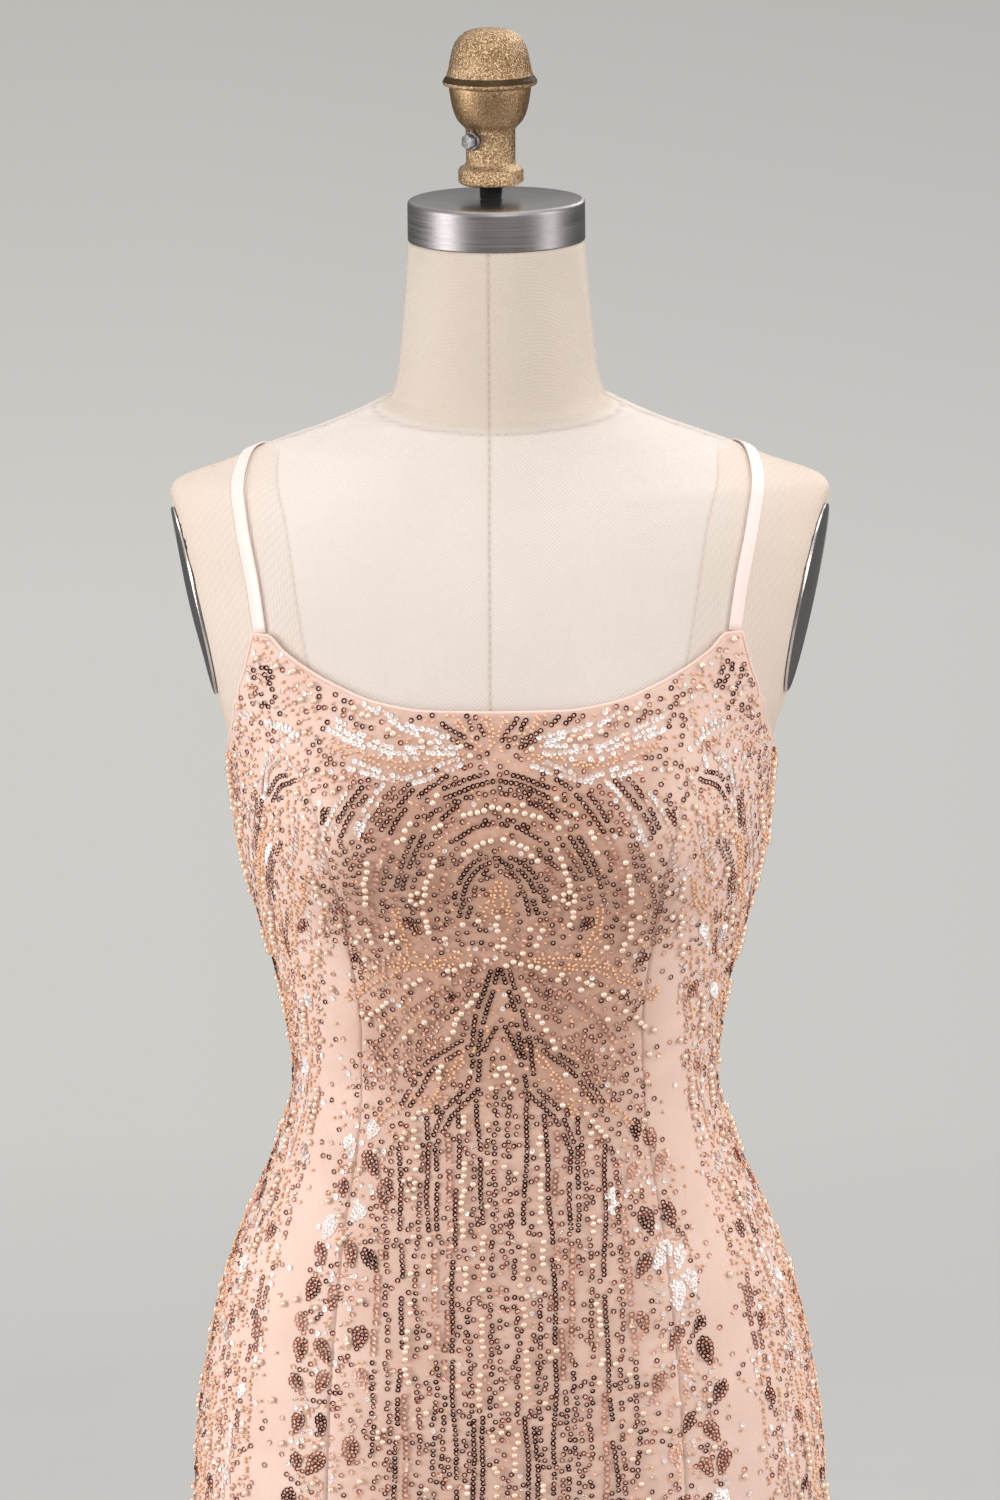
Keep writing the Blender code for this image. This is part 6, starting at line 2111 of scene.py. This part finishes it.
def join_copies(name, kind, rows):
    """One mesh of copies. Each line of rows is a bead's place, direction, shade, lean and size."""
    (points, triangles, rim), lift, _ = KINDS[kind]
    girth, height, turn, tone, lean, size = rows.T
    middle, out = dressed.at(height, girth)
    middle = middle + out * (CLOTH_OUT + crease_lift(height, girth) + lift * size)[:, None]
    level = unit(np.cross((0.0, 0.0, 1.0), out))
    up = np.cross(out, level)
    ahead = level * np.cos(turn)[:, None] + up * np.sin(turn)[:, None]
    beside = np.cross(out, ahead)
    tip_ahead = lean + chance.normal(0, TIP[kind], len(rows))
    tip_beside = chance.normal(0, TIP[kind], len(rows))
    away = unit(out + ahead * tip_ahead[:, None] + beside * tip_beside[:, None])
    ahead = unit(ahead - away * np.einsum("ij,ij->i", ahead, away)[:, None])
    frames = np.stack([ahead, np.cross(away, ahead), away], axis=1)
    placed = np.einsum("pk,nkj->npj", points, frames) * size[:, None, None] + middle[:, None, :] * MM
    faces = triangles[None] + (np.arange(len(rows)) * len(points))[:, None, None]
    piece = make_mesh(name, placed.reshape(-1, 3), faces.reshape(-1, 3))
    add_values(piece, "tone", np.repeat(tone, len(points)))
    if kind in ("sequin", "spangle"):
        add_values(piece, "rim", np.tile(rim, len(rows)))
    return piece


print("regions:", REGIONS)

# %% [markdown]
# ## Bead finishes
# Sequins are rose-coloured film with a mirror under it. Pearls are coated glass, so they keep a soft
# highlight. Seed beads are amber-pink glass with cloudy patches, and bugles are lined
# with silver.

# %% Bead materials
def stepped(tree, value, colours):
    """A colour ramp through colours spaced evenly."""
    ramp = node(tree, "ShaderNodeValToRGB", {0: value})
    stops = ramp.color_ramp.elements
    while len(stops) < len(colours):
        stops.new(0.5)
    for number, tint in enumerate(colours):
        stops[number].position = number / (len(colours) - 1)
        stops[number].color = tint
    return ramp.outputs[0]


# The flat middle carries a painted highlight: pale and barely metallic, as the inner face catches light.
SEQUIN_FLAT = 0.25  # the share of a sequin, from its hole outward, that lies flat


def make_sequin_material():
    material, tree, shader = start_material("rose_sequins", Specular_IOR_Level=0.3,
                                            Specular_Tint=colour(0.90, 0.58, 0.48))
    tone = stored(tree, "tone")
    # The ramp's top is near white with little metal: partly pale sequins, partly painted flashes of lamp
    # light.
    tint = stepped(tree, tone, (colour(0.055, 0.009, 0.004), colour(0.25, 0.065, 0.032),
                                colour(0.82, 0.46, 0.33), colour(0.99, 0.94, 0.92)))
    film = mottled(tree, object_place(tree), 260.0, 2200.0)
    flat = ranged(tree, tone, 0.04, 0.13, SEQUIN_FLAT * 0.55, SEQUIN_FLAT)
    slope = ranged(tree, sum_of(tree, "SUBTRACT", stored(tree, "rim"), flat), -0.05, 0.05)
    # Painted highlight: the flat middle round the hole is painted pale.
    body = mixed(tree, slope, mixed(tree, 0.85, tint, colour(0.99, 0.84, 0.77)), tint)
    mirror = ranged(tree, tone, 0.1, 0.42, 0.9, 0.3)
    mirror = sum_of(tree, "MULTIPLY", mirror, between(tree, slope, 0.1, 1.0))
    tree.links.new(mirror, shader.inputs["Metallic"])
    dark = mixed(tree, sum_of(tree, "MULTIPLY", film["Value"], 0.2), body, colour(0.05, 0.015, 0.01))
    paint(tree, shader, dark, between(tree, film["Fine"], 0.18, 0.32))
    return material


def make_pearl_material():
    material, tree, shader = start_material("peach_pearls", Metallic=0.35, Roughness=0.24,
                                            Coat_Weight=0.5, Coat_Roughness=0.1)
    lustre = mottled(tree, object_place(tree), 240.0, 1400.0)
    tint = mixed(tree, stored(tree, "tone"), colour(0.89, 0.60, 0.44), colour(0.97, 0.78, 0.64))
    # Painted shade: each pearl's colour turns dark brown towards its outline, as if its edges fell into
    # shade.
    facing = node(tree, "ShaderNodeLayerWeight", {"Blend": 0.35}).outputs["Facing"]
    edge = mixed(tree, sum_of(tree, "MULTIPLY", facing, 0.9), tint, colour(0.46, 0.21, 0.11))
    sheen = sum_of(tree, "MULTIPLY", lustre["Value"], 0.3)
    paint(tree, shader, mixed(tree, sheen, edge, colour(0.92, 0.78, 0.70)))
    return material


def make_seed_material():
    material, tree, shader = start_material("amber_seed_beads", Roughness=0.16, Coat_Weight=0.5,
                                            Specular_IOR_Level=0.7)
    glass = mottled(tree, object_place(tree), 300.0, 1800.0)
    tint = stepped(tree, stored(tree, "tone"), (colour(0.66, 0.31, 0.15), colour(0.84, 0.49, 0.29),
                                                colour(0.93, 0.66, 0.47)))
    cloudy = sum_of(tree, "MULTIPLY", glass["Value"], 0.5)
    paint(tree, shader, mixed(tree, cloudy, tint, colour(0.76, 0.44, 0.24)))
    return material


def make_bugle_material():
    material, tree, shader = start_material("silver_lined_bugles", Metallic=0.85)
    lining = mottled(tree, object_place(tree), 500.0, 2600.0)
    tint = mixed(tree, lining["Value"], colour(0.80, 0.74, 0.70), colour(0.62, 0.50, 0.44))
    paint(tree, shader, tint, between(tree, lining["Fine"], 0.14, 0.3))
    return material


sequin_film = make_sequin_material()
# kind: the finish, and the name for many
BEAD_FINISH = {"sequin": (sequin_film, "sequins"), "spangle": (sequin_film, "spangles"),
               "pearl": (make_pearl_material(), "pearls"), "seed": (make_seed_material(), "seed_beads"),
               "bugle": (make_bugle_material(), "bugle_beads")}
print("bead finishes:", sorted(plural for _, plural in BEAD_FINISH.values()))

# %% Sew everything on
bead_triangles = 0
for kind in KINDS:
    material, plural = BEAD_FINISH[kind]
    rows = np.array(sewn[kind])
    regions = region_of(rows[:, 0], rows[:, 1])
    for number, region in enumerate(REGIONS):
        own = rows[regions == number]
        piece = join_copies(f"{plural}_{region}", kind, own)
        finish_piece(piece, material)
        bead_triangles += len(piece.data.polygons)
        print(f"{piece.name}: {len(own)} beads, {len(piece.data.polygons)} triangles")
print("beads have", bead_triangles, "triangles in all")
